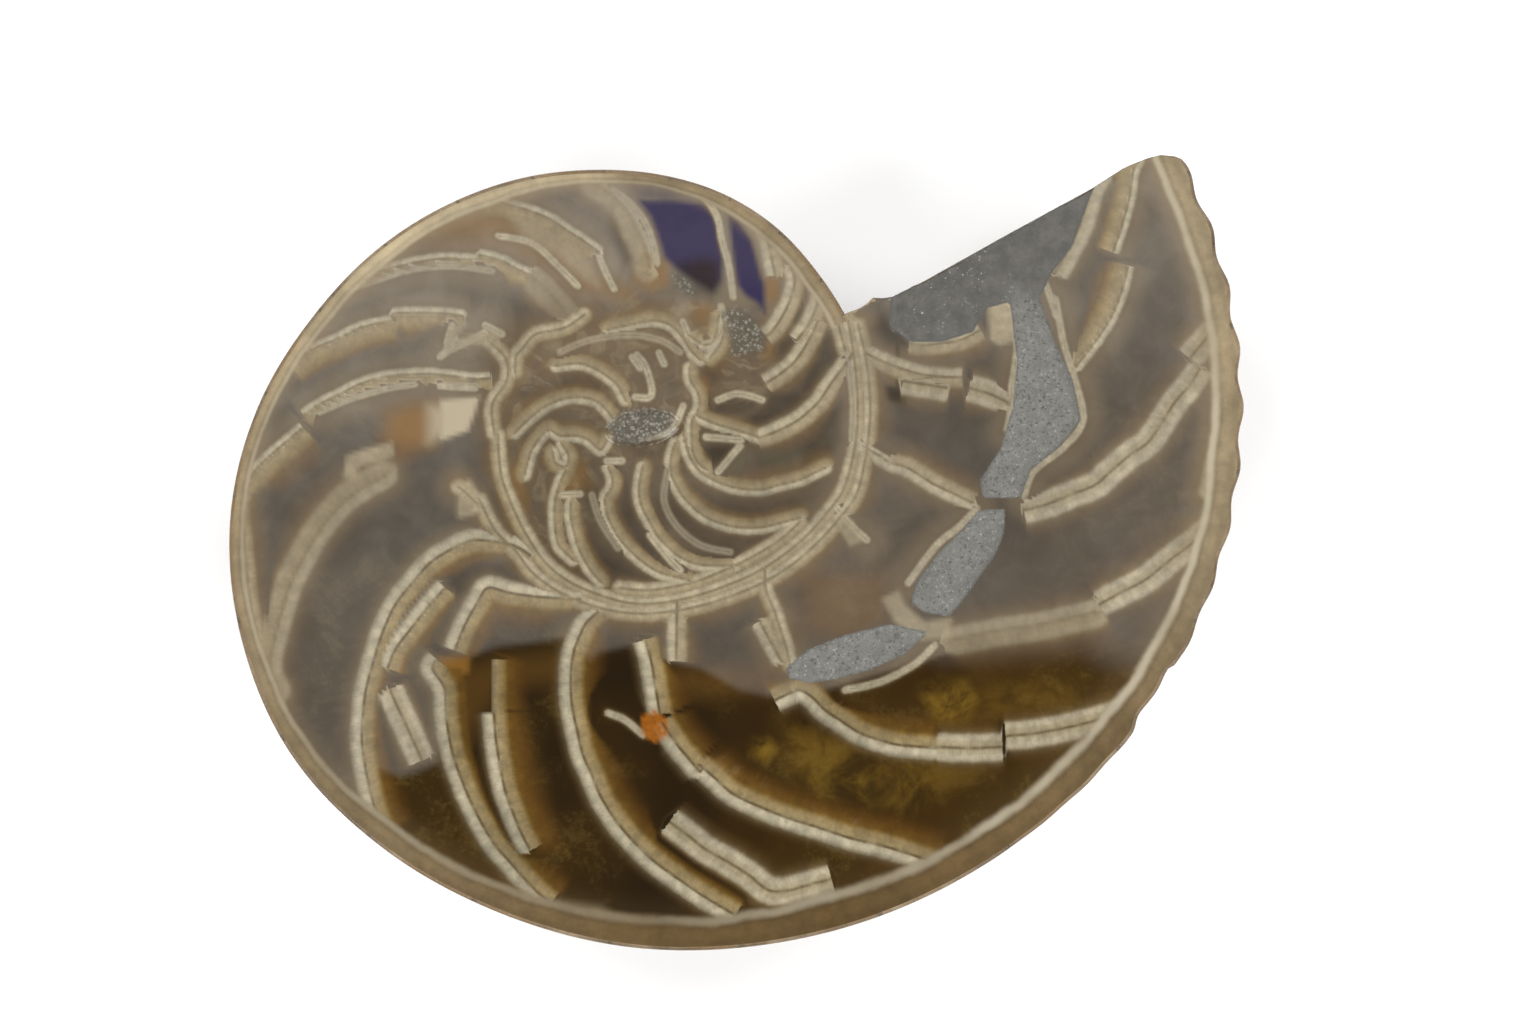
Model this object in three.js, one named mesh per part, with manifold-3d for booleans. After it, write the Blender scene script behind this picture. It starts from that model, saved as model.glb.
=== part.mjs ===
// One polished half of a fossil nautilus shell, sawn through its plane of symmetry.
// It lies on its rounded flank with the flat cut face level on top.
// Millimetres, +Z up. The origin is under the middle of the face, on the surface it rests on.
import * as THREE from 'three';
import { ParametricGeometry } from 'three/addons/geometries/ParametricGeometry.js';
import { mergeGeometries, mergeVertices } from 'three/addons/utils/BufferGeometryUtils.js';
import Module from 'manifold-3d';

// Driving dimensions of the cut face
const FACE_HEIGHT = 20;
const SPIRAL_CENTRE = { x: -8.7, y: 12.7 };
const APERTURE_ANGLE = 27.7;
const EDGE_ROUNDING = 0.4;

// Outer radius of the last whorl, every 15 degrees from the aperture line round to it again
const WHORL_RADII = [
  22.4, 22.7, 23.5, 24.3, 25.1, 26.2, 27.9, 30.0, 32.6,
  35.6, 39.4, 43.1, 46.2, 48.8, 50.1, 51.1, 52.3, 53.3,
  54.5, 55.8, 57.3, 58.4, 59.1, 59.4, 59.5,
];
const TIP_ROUNDING = { span: 1.6, drop: 1.4 };
const CHIP = { from: 327.5, to: 335.6, depth: 0.5 };

// Half width of the whorl at its widest, young end and aperture end
const YOUNG_FLANK = 11;
const FLANK_GROWTH_POWER = 2.4;
const UMBILICUS_DEPTH = 8;
const SHOULDER = 0.34;
const FLANK_ROUNDNESS = 2.3;

// Ribs of the outer shell, which fade in towards the aperture
const RIB = { period: 5.9, peak: 385.3, height: 0.26, start: 300, full: 372, lean: 14 };

// Steps of the broken aperture wall, as distance from the spiral centre and height of the step
const APERTURE_STEPS = [
  [0, 0], [20, 0], [22.4, 0.8], [24.2, 0.55], [25.7, 0.9], [27, 0.1], [31, 0],
  [40, 0.25], [50, 0.4], [54, 0.75], [56.5, 0.5], [58.5, 0], [70, 0],
];
const WALL_HOLLOW = 0.8;

// Where grey sediment fills the shell its soft surface lies a little under the polish
const SEDIMENT_RECESS = 0.25;
const BODY_CHAMBER = [
  [15.4, 25.6], [21, 29.6], [36, 37], [35.2, 35.2], [33.5, 30.5], [31.4, 27.8], [30.3, 25.4],
  [31.8, 21.2], [33.6, 17.2], [34.4, 13.2], [32.4, 10.6], [29.4, 8.2], [28.4, 5.4],
  [24.5, 5.4], [24.3, 7.2], [26.4, 10.4], [27.6, 14.6], [28, 19], [27.3, 25],
  [25, 24.4], [23.6, 22], [20.4, 21], [17.3, 21], [15.2, 22.6],
];
const SIPHUNCLE_MIDDLE = [
  [24.2, 4.2], [26.8, 4.3], [26.7, 1.8], [25.8, -0.4], [22.2, -5.4], [21.2, -6.5],
  [18.6, -6], [17.4, -5], [17.9, -3], [20.4, 0.2], [22.5, 2.2],
];
const SIPHUNCLE_INNER = [
  [19.2, -8], [15.2, -7.2], [10.8, -8.3], [7, -9.8], [4.9, -11.6],
  [5.2, -12.7], [7.4, -13.1], [10, -12.7], [13.4, -11.8], [16.8, -10.2],
];

// A small crystal lined hollow in the first whorl
const VUG = { x: -9.5, y: 12.4, length: 7.4, width: 3.4, depth: 1, turn: 8 };

// Fineness of the facets
const SMOOTH_COLUMNS = 62;
const RIBBED_COLUMNS = 56;
const FLANK_ROWS = 26;
const SHOULDER_ROW = 18;
const FACE_RINGS = 8;
const OUTLINE_STEPS = 3;
const VUG_FACETS = 28;

const COLUMNS = SMOOTH_COLUMNS + RIBBED_COLUMNS;
const whorlCurve = new THREE.SplineCurve(WHORL_RADII.map((radius, i) => new THREE.Vector2(i, radius)));

function mix(a, b, t) {
  return a + (b - a) * t;
}

function smooth(low, high, value) {
  return THREE.MathUtils.smoothstep(value, low, high);
}

// Angle of a column in degrees: wide steps on the smooth part, fine ones where there are ribs
function columnAngle(column) {
  if (column <= SMOOTH_COLUMNS) {
    return mix(APERTURE_ANGLE, RIB.start, column / SMOOTH_COLUMNS);
  }
  return mix(RIB.start, APERTURE_ANGLE + 360, (column - SMOOTH_COLUMNS) / RIBBED_COLUMNS);
}

function ribHeight(angle) {
  const wave = Math.cos(((angle - RIB.peak) / RIB.period) * 2 * Math.PI);
  return RIB.height * wave * smooth(RIB.start, RIB.full, angle);
}

function rimRadius(angle) {
  const end = APERTURE_ANGLE + 360;
  const tip = Math.max(0, (angle - end + TIP_ROUNDING.span) / TIP_ROUNDING.span);
  const chip = smooth(CHIP.from, CHIP.from + 2, angle) * (1 - smooth(CHIP.to - 1, CHIP.to, angle));
  const base = whorlCurve.getPoint((angle - APERTURE_ANGLE) / 360).y;
  return base + ribHeight(angle) - TIP_ROUNDING.drop * tip ** 3 - CHIP.depth * chip;
}

function apertureStep(radius) {
  const next = APERTURE_STEPS.findIndex((step) => step[0] > radius);
  const [r0, h0] = APERTURE_STEPS[next - 1];
  const [r1, h1] = APERTURE_STEPS[next];
  return mix(h0, h1, (radius - r0) / (r1 - r0));
}

// A point at a radius and angle about the spiral centre and a depth under the cut face
function place(radius, angle, depth, hollow = 0) {
  const turn = THREE.MathUtils.degToRad(angle);
  const onSeam = angle === APERTURE_ANGLE || angle === APERTURE_ANGLE + 360;
  const step = (onSeam ? apertureStep(radius) : 0) - hollow;
  return new THREE.Vector3(
    SPIRAL_CENTRE.x + radius * Math.cos(turn) - step * Math.sin(turn),
    SPIRAL_CENTRE.y + radius * Math.sin(turn) + step * Math.cos(turn),
    FACE_HEIGHT - depth,
  );
}

function flankDepth(angle) {
  const age = (angle - APERTURE_ANGLE) / 360;
  return mix(YOUNG_FLANK, FACE_HEIGHT, 1 - (1 - age) ** FLANK_GROWTH_POWER);
}

// The outside of the shell in one radial plane, from the rim (row 0) to the umbilicus (last row)
function outside(angle, row) {
  const rim = rimRadius(angle);
  if (row === 0) {
    return { radius: rim - EDGE_ROUNDING, depth: 0 };
  }
  const widest = flankDepth(angle);
  if (row <= SHOULDER_ROW) {
    const swing = mix(0, Math.PI / 2, (row - 1) / (SHOULDER_ROW - 1));
    const out = Math.cos(swing) ** (2 / FLANK_ROUNDNESS);
    const down = Math.sin(swing) ** (2 / FLANK_ROUNDNESS);
    const lift = ribHeight(angle - RIB.lean * (1 - out)) * down * out;
    return {
      radius: rim * mix(SHOULDER, 1, out),
      depth: mix(EDGE_ROUNDING, widest, down) + lift,
    };
  }
  const inward = 1 - (row - SHOULDER_ROW) / (FLANK_ROWS - SHOULDER_ROW);
  return {
    radius: rim * SHOULDER * inward,
    depth: mix(UMBILICUS_DEPTH, widest, 1 - (1 - inward) ** 2),
  };
}

// One grid of facets. It faces the side from which the second count runs to the left of the first.
function patch(across, along, pointAt) {
  const geometry = new ParametricGeometry((u, v, target) => {
    target.copy(pointAt(Math.round(u * across), Math.round(v * along)));
  }, across, along);
  geometry.deleteAttribute('normal');
  geometry.deleteAttribute('uv');
  return geometry;
}

function flank() {
  return patch(FLANK_ROWS, COLUMNS, (row, column) => {
    const angle = columnAngle(column);
    const { radius, depth } = outside(angle, row);
    return place(radius, angle, depth);
  });
}

// The broken wall of the aperture, between the young end of the whorl and its last outline
function apertureWall() {
  const end = APERTURE_ANGLE + 360;
  return patch(FACE_RINGS, FLANK_ROWS, (column, row) => {
    const inner = outside(APERTURE_ANGLE, row);
    const outer = outside(end, row);
    const across = column / FACE_RINGS;
    const hollow = WALL_HOLLOW * Math.sin(Math.PI * across) * Math.sin(Math.PI * row / FLANK_ROWS);
    const radius = mix(inner.radius, outer.radius, across);
    return place(radius, end, mix(inner.depth, outer.depth, across), hollow);
  });
}

// The cut face: a disc as wide as the young end, and the crescent that the whorl adds round it
function faceDisc() {
  const rim = outside(APERTURE_ANGLE, 0).radius;
  return patch(1, COLUMNS, (ring, column) => place(rim * ring, columnAngle(column), 0));
}

function faceCrescent() {
  const inner = outside(APERTURE_ANGLE, 0).radius;
  return patch(FACE_RINGS, COLUMNS, (ring, column) => {
    const angle = columnAngle(column);
    return place(mix(inner, outside(angle, 0).radius, ring / FACE_RINGS), angle, 0);
  });
}

const wasm = await Module();
wasm.setup();

// Turns merged facets into a solid, leaving out those that have shrunk to a line
function solid(geometry) {
  const merged = mergeVertices(geometry, 1e-4);
  const corners = [];
  for (let i = 0; i < merged.index.count; i += 3) {
    const [a, b, c] = [0, 1, 2].map((k) => merged.index.getX(i + k));
    if (a !== b && b !== c && c !== a) {
      corners.push(a, b, c);
    }
  }
  return new wasm.Manifold(new wasm.Mesh({
    numProp: 3,
    vertProperties: new Float32Array(merged.attributes.position.array),
    triVerts: new Uint32Array(corners),
  }));
}

// A shallow cutter with a smooth outline, standing from under the face to twice as far above it
function recessCutter(outline) {
  const curve = new THREE.CatmullRomCurve3(outline.map(([x, y]) => new THREE.Vector3(x, y, 0)), true);
  const edge = curve.getPoints(outline.length * OUTLINE_STEPS);
  const shape = new THREE.Shape(edge.map(({ x, y }) => new THREE.Vector2(x, y)));
  const geometry = new THREE.ExtrudeGeometry(shape, { depth: SEDIMENT_RECESS * 3, bevelEnabled: false });
  geometry.translate(0, 0, FACE_HEIGHT - SEDIMENT_RECESS);
  geometry.deleteAttribute('normal');
  geometry.deleteAttribute('uv');
  return solid(geometry);
}

function vugCutter() {
  const geometry = new THREE.SphereGeometry(1, VUG_FACETS, VUG_FACETS / 2);
  geometry.scale(VUG.length / 2, VUG.width / 2, VUG.depth);
  geometry.rotateZ(THREE.MathUtils.degToRad(VUG.turn));
  geometry.translate(VUG.x, VUG.y, FACE_HEIGHT);
  geometry.deleteAttribute('normal');
  geometry.deleteAttribute('uv');
  return solid(geometry);
}

function shellHalf() {
  const skin = mergeGeometries([flank(), apertureWall(), faceDisc(), faceCrescent()]);
  let body = solid(skin);
  for (const outline of [BODY_CHAMBER, SIPHUNCLE_MIDDLE, SIPHUNCLE_INNER]) {
    body = body.subtract(recessCutter(outline));
  }
  body = body.subtract(vugCutter());
  const { numProp, vertProperties, triVerts } = body.getMesh();
  const geometry = new THREE.BufferGeometry();
  geometry.setAttribute('position', new THREE.BufferAttribute(vertProperties, numProp));
  geometry.setIndex(new THREE.BufferAttribute(triVerts, 1));
  geometry.computeVertexNormals();
  return geometry;
}

const polishedCalcite = new THREE.MeshStandardMaterial({ color: 0x6b5d48, roughness: 0.2, metalness: 0 });

const fossil = new THREE.Group();
const half = new THREE.Mesh(shellHalf(), polishedCalcite);
half.name = 'nautilus_half';
fossil.add(half);

export default fossil;
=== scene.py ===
import math
from functools import lru_cache

import bmesh
import bpy
import numpy as np
from bpy.props import FloatProperty, FloatVectorProperty, IntProperty, PointerProperty
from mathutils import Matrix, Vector, noise


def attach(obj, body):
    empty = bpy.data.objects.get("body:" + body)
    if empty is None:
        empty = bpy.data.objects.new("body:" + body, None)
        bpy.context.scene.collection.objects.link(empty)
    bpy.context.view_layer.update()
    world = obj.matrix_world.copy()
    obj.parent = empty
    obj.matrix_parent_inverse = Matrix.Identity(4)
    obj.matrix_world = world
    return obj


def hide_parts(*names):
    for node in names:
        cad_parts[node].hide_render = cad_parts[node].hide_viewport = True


bl_info = {
    "name": "Fossil nautilus half",
    "version": (1, 0, 0),
    "blender": (4, 5, 0),
    "location": "View3D > Sidebar > Fossil",
    "description": "A sawn and polished half of a fossil nautilus shell",
    "category": "Mesh",
}

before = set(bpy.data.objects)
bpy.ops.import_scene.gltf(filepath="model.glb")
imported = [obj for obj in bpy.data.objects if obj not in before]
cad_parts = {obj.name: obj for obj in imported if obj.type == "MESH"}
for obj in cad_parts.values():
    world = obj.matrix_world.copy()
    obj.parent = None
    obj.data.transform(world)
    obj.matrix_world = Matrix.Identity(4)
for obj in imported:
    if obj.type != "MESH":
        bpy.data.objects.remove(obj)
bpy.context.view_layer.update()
NODE = "nautilus_half"
MM = 0.001
# Heights closer than this, in millimetres, are the same
TOUCHING = 1e-4
# A distance longer than any on the shell
UNREACHED = 1e9

# The shell's own shape, as its solid has it, in millimetres and degrees
FACE_HEIGHT = 20
SPIRAL_CENTRE = (-8.7, 12.7)
APERTURE_ANGLE = 27.7
EDGE_ROUNDING = 0.4
WHORL_RADII = [
    22.4, 22.7, 23.5, 24.3, 25.1, 26.2, 27.9, 30.0, 32.6,
    35.6, 39.4, 43.1, 46.2, 48.8, 50.1, 51.1, 52.3, 53.3,
    54.5, 55.8, 57.3, 58.4, 59.1, 59.4, 59.5,
]
TIP_ROUNDING_SPAN = 1.6
TIP_ROUNDING_DROP = 1.4
CHIP_FROM, CHIP_TO, CHIP_DEPTH = 327.5, 335.6, 0.5
YOUNG_FLANK = 11
FLANK_GROWTH_POWER = 2.4
UMBILICUS_DEPTH = 8
SHOULDER = 0.34
FLANK_ROUNDNESS = 2.3
RIB_PERIOD, RIB_PEAK, RIB_HEIGHT = 5.9, 385.3, 0.26
RIB_START, RIB_FULL, RIB_LEAN = 300, 372, 14
APERTURE_STEPS = [
    (0, 0), (20, 0), (22.4, 0.8), (24.2, 0.55), (25.7, 0.9), (27, 0.1), (31, 0),
    (40, 0.25), (50, 0.4), (54, 0.75), (56.5, 0.5), (58.5, 0), (70, 0),
]
WALL_HOLLOW, WALL_ROUGHNESS, WALL_GRAIN = 0.8, 0.35, 0.8
# How far out on the aperture's line the young end of the whorl still reaches past its radius
YOUNG_END_MARGIN = 0.3
# Thickness of the shell round the broken wall of the aperture
BROKEN_SHELL = 1.6
SEDIMENT_RECESS, SEDIMENT_GRAIN = 0.25, 2.2
VUG_PLACE, VUG_LENGTH, VUG_WIDTH, VUG_DEPTH, VUG_TURN = (-9.5, 12.4), 7.4, 3.4, 1, 8
VUG_GRAIN = 1.4

# The marks on the face are measured on a sheet, in tenths of a millimetre from its left and top
SHEET_ORIGIN = (737, 552)
# The distance kept where no line is near, and how far from a line its look is worked out at least
FAR = 80
LINE_REACH = 36
# How far in from its ends a line counts as whole, and how it gives way to other lines past them
END_REACH = 20
END_PENALTY = 4
END_PENALTY_MOST = 14
END_SPREAD, END_SPREAD_FROM = 3, 1.5
# Near a line its strength stops just past its cut end: how near, and how far past
BAND = 14
GLOW_END = (2, 6)
# The glow fades where two lines are as near as each other: the difference, and the distance to both
SHARED_GAP = (0, 12)
SHARED_DISTANCE = (7, 18)
# The width kept where no line is near
PLAIN_WIDTH = 6
# Keeps the small bricks of one line of shell from being those of the next
BRICK_SHIFT = 50
# The painted reflection of the overhead light: its strength high and low on each side of the face, and
# where the right side takes over
LEFT_REFLECTION, LEFT_REFLECTION_SPAN = (0.35, 0.18), (250, 660)
RIGHT_REFLECTION, RIGHT_REFLECTION_SPAN = (0.34, 0.2), (250, 430)
REFLECTION_SIDES = (640, 900)
# The painted reflection is weaker over the inner whorl: its reach from the spiral centre, in millimetres,
# and its top
INNER_WHORL, INNER_TOP, INNER_REFLECTION_LOSS = (20, 16), (260, 330), 0.42

# How a line of shell looks on each side, pale side first: its reach in tenths of a millimetre, its
# strength and how tan it is. Then the strength of the painted highlight along its band, how strong
# its dark seam is, and if it ends square.
STYLES = {
    "lower": dict(width=(10, 10), glow=(1.0, 0.95), warm=(0.0, 1.0), edge=0.15, line=1.0, square=True),
    "half": dict(width=(10, 10), glow=(0.0, 0.95), warm=(0.0, 1.0), edge=0.0, line=0.0, square=True),
    "upper": dict(width=(5.5, 14), glow=(1.2, 0.9), warm=(0.0, 0.9), edge=0.0, line=0.6, square=True),
    "fine": dict(width=(5.5, 8), glow=(1.1, 0.8), warm=(0.15, 0.75), edge=0.0, line=0.35, square=False),
    "twin": dict(width=(8, 9), glow=(1.0, 0.9), warm=(0.2, 0.6), edge=0.2, line=0.7, square=True),
    "stout": dict(width=(12, 12), glow=(0.95, 0.95), warm=(0.25, 0.4), edge=1.0, line=0.8, square=True),
    "strand": dict(width=(6.5, 7), glow=(1.0, 0.9), warm=(0.3, 0.6), edge=0.0, line=0.45, square=False),
    "thread": dict(width=(3.3, 3.3), glow=(0.9, 0.9), warm=(0.1, 0.1), edge=0.0, line=0.0, square=False),
    "ghost": dict(width=(11, 14), glow=(0.7, 0.7), warm=(0.4, 0.7), edge=0.5, line=0.15, square=False),
}

# The lines of shell on the face: style, side of the pale edge, points, strength at both ends.
# The pale edge is on the right hand (1) or the left hand (-1) of the way that the points go.
OUTER_LINES = [
    ("upper", -1, [(488, 200), (510, 205), (530, 211), (550, 219), (565, 229), (588, 244), (601, 254)]),
    ("thread", -1, [(598, 252), (603, 266), (614, 289)]),
    ("thread", -1, [(352, 288), (380, 279), (410, 270), (450, 266), (492, 271)], 0.9, 0.7),
    ("thread", -1, [(320, 412), (340, 403), (360, 396), (390, 388), (415, 384)], 0.8, 0.8),
    ("thread", -1, [(498, 236), (532, 243), (558, 266), (578, 286)]),
    ("upper", -1, [(350, 284), (360, 276), (380, 271), (400, 266), (430, 260), (450, 259), (475, 260)]),
    ("upper", -1, [(479, 255), (500, 260), (515, 268), (530, 275)]),
    ("ghost", -1, [(530, 275), (545, 288), (565, 311)], 0.9, 0.4),
    ("upper", -1, [(290, 365), (300, 357), (320, 346), (340, 338), (360, 328), (380, 323), (395, 320)]),
    ("upper", -1, [(392, 314), (400, 313), (430, 313), (450, 314), (465, 317)]),
    ("thread", -1, [(485, 325), (502, 334)]),
    ("thread", -1, [(452, 325), (447, 345), (457, 338)]),
    ("thread", -1, [(440, 357), (450, 350), (475, 338), (485, 332)]),
    ("upper", -1, [(243, 490), (250, 478), (260, 465), (280, 447), (303, 428)]),
    ("upper", -1, [(304, 415), (320, 404), (340, 394), (360, 384), (380, 378), (400, 375), (430, 374),
        (450, 376), (475, 379), (490, 378)]),
    ("thread", -1, [(440, 386), (475, 388)]),
    ("ghost", -1, [(385, 476), (360, 490), (340, 506), (320, 530), (305, 555), (290, 585), (281, 615),
        (273, 645), (270, 670), (278, 690)], 0.9, 1.0),
    ("lower", 1, [(531, 556), (515, 546), (490, 541), (470, 541), (450, 550), (430, 563), (415, 580),
        (400, 598), (390, 615), (380, 640), (372, 667), (366, 690), (363, 715), (362, 740), (365, 765),
        (370, 790), (377, 815), (383, 830)]),
    ("lower", 1, [(445, 588), (430, 605), (410, 630), (395, 650), (388, 668)]),
    ("stout", 1, [(390, 690), (398, 708), (407, 727), (422, 760)]),
    ("lower", 1, [(580, 599), (540, 597), (510, 593), (488, 588), (478, 602), (465, 625), (455, 650)]),
    ("lower", 1, [(437, 660), (432, 668), (440, 680), (445, 690), (446, 710), (448, 730), (453, 755),
        (460, 775), (470, 800), (480, 820), (495, 845), (510, 862), (530, 885), (550, 903)]),
    ("half", 1, [(493, 660), (493, 690), (494, 712)]),
    ("lower", 1, [(494, 712), (496, 740), (500, 765), (505, 790), (512, 810), (520, 830), (530, 850)]),
    ("lower", 1, [(598, 612), (587, 622), (580, 635), (573, 655), (571, 680), (572, 705), (577, 730),
        (583, 755), (592, 775), (600, 795), (612, 815), (625, 832), (640, 848), (655, 862), (680, 880),
        (705, 897), (735, 915)]),
    ("twin", 1, [(677, 600), (676, 661)]),
    ("lower", 1, [(645, 640), (651, 660), (656, 690), (660, 714)]),
    ("thread", 1, [(608, 713), (625, 720), (643, 735)]),
    ("lower", 1, [(662, 722), (675, 742), (690, 760), (700, 772)]),
    ("lower", 1, [(700, 765), (715, 778), (735, 795), (780, 815), (820, 828), (850, 838), (880, 845),
        (913, 855), (935, 863)]),
    ("stout", -1, [(670, 822), (690, 837), (705, 849), (730, 863), (750, 876), (768, 890), (785, 891),
        (805, 886), (831, 879)]),
    ("strand", -1, [(765, 570), (766, 590), (770, 600), (775, 612), (780, 628), (787, 650), (790, 665)]),
    ("twin", 1, [(760, 622), (775, 650), (782, 662)]),
    ("lower", 1, [(775, 700), (790, 693), (800, 690), (812, 697), (825, 710), (840, 720), (860, 733),
        (880, 740), (900, 745), (937, 748)]),
    ("stout", 1, [(937, 747), (970, 748), (1002, 747)]),
    ("stout", 1, [(1006, 736), (1030, 734), (1060, 729), (1090, 722), (1125, 712)]),
    ("stout", 1, [(1100, 604), (1120, 593), (1145, 580), (1170, 560), (1190, 545), (1222, 520)]),
    ("ghost", 1, [(1095, 612), (1042, 624), (1001, 630), (950, 640)], 1.0, 0.7),
    ("stout", -1, [(1217, 325), (1205, 340), (1190, 358)]),
    ("stout", -1, [(1200, 368), (1190, 385), (1175, 402), (1150, 440), (1130, 455), (1110, 472),
        (1095, 485), (1070, 495), (1045, 505), (1024, 510)]),
    ("twin", 1, [(862, 445), (890, 462), (908, 468), (930, 482), (950, 492), (973, 503)]),
    ("thread", 1, [(835, 505), (848, 522), (867, 540)]),
    ("upper", -1, [(1140, 158), (1133, 172), (1130, 195), (1122, 225), (1113, 252)]),
    ("upper", -1, [(1128, 266), (1122, 290), (1112, 315), (1100, 335), (1085, 355), (1067, 378)]),
    ("stout", -1, [(1101, 172), (1090, 190), (1085, 210), (1078, 230), (1065, 255), (1055, 273)], 0.8, 0.9),
    ("thread", -1, [(1042, 278), (1048, 290), (1056, 315)]),
    ("thread", 1, [(1011, 300), (1017, 346), (1012, 385), (1010, 415), (1007, 430)]),
    ("twin", -1, [(910, 343), (925, 345), (960, 340), (980, 330)]),
    ("twin", -1, [(865, 353), (880, 360), (897, 367), (920, 374), (945, 377), (962, 377)]),
    ("stout", -1, [(903, 381), (948, 388)]),
    ("stout", -1, [(970, 388), (990, 394), (1011, 404)]),
    ("ghost", -1, [(596, 184), (613, 196), (628, 212), (638, 232), (646, 250), (650, 268)], 0.9, 1.1),
    ("thread", 1, [(612, 189), (630, 203), (645, 222), (653, 243), (657, 264)], 0.5, 0.9),
    ("thread", 1, [(688, 181), (705, 198), (717, 216), (722, 240), (728, 262), (731, 280), (733, 297)],
     1.3, 0.8),
    ("twin", 1, [(740, 205), (752, 215), (765, 232), (770, 250), (775, 275)]),
    ("twin", 1, [(790, 266), (795, 280), (790, 300), (783, 315), (773, 330), (766, 336)]),
    ("twin", 1, [(823, 284), (817, 305), (808, 325), (797, 340)]),
    ("twin", 1, [(818, 320), (810, 338), (796, 360), (780, 374), (766, 383)]),
    ("thread", 1, [(848, 360), (853, 400), (852, 440)], 0.7, 0.7),
    ("thread", 1, [(862, 445), (880, 455), (890, 462)]),
    ("twin", 1, [(853, 352), (845, 365), (832, 382), (820, 400), (808, 412), (795, 422), (775, 432),
        (757, 438)]),
    ("strand", 1, [(243, 490), (241, 510), (243, 530), (250, 600), (258, 640), (263, 690)]),
    ("strand", 1, [(1165, 170), (1185, 200), (1200, 235), (1210, 270), (1215, 300), (1218, 325)]),
    ("strand", 1, [(1222, 400), (1220, 430), (1206, 492)]),
    ("strand", 1, [(800, 258), (815, 275), (832, 305), (845, 350)]),
]
WALL_LINES = [
    ("strand", 1, [(846, 310), (853, 350), (857, 390), (857, 430), (851, 465), (842, 492), (826, 514),
        (806, 536), (782, 556), (755, 573), (725, 586), (695, 596), (660, 603), (630, 603), (600, 595),
        (570, 582), (545, 562), (525, 532), (512, 505), (502, 478), (499, 455), (498, 435)]),
    ("strand", 1, [(858, 325), (866, 360), (870, 400), (869, 430), (864, 465), (856, 495), (838, 520),
        (815, 545), (790, 566), (760, 584), (728, 597), (695, 607), (655, 613), (620, 612), (585, 603),
        (556, 590), (532, 572), (515, 550), (495, 530), (480, 500)]),
    ("strand", 1, [(800, 522), (778, 541), (750, 558), (720, 572), (690, 583), (650, 590), (620, 588)]),
    ("thread", 1, [(1056, 300), (1063, 340), (1075, 380), (1083, 420), (1064, 447), (1034, 471),
        (1024, 496)]),
    ("thread", 1, [(908, 583), (936, 546), (960, 526), (977, 508)]),
    ("thread", 1, [(845, 690), (880, 682), (915, 664), (935, 645)]),
    ("strand", 1, [(584, 315), (564, 328), (536, 334), (522, 349), (516, 356), (515, 372)]),
    ("strand", 1, [(490, 342), (504, 356), (508, 370), (505, 384), (492, 405), (494, 433)]),
    ("strand", 1, [(458, 487), (465, 492), (478, 505)]),
]
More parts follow.
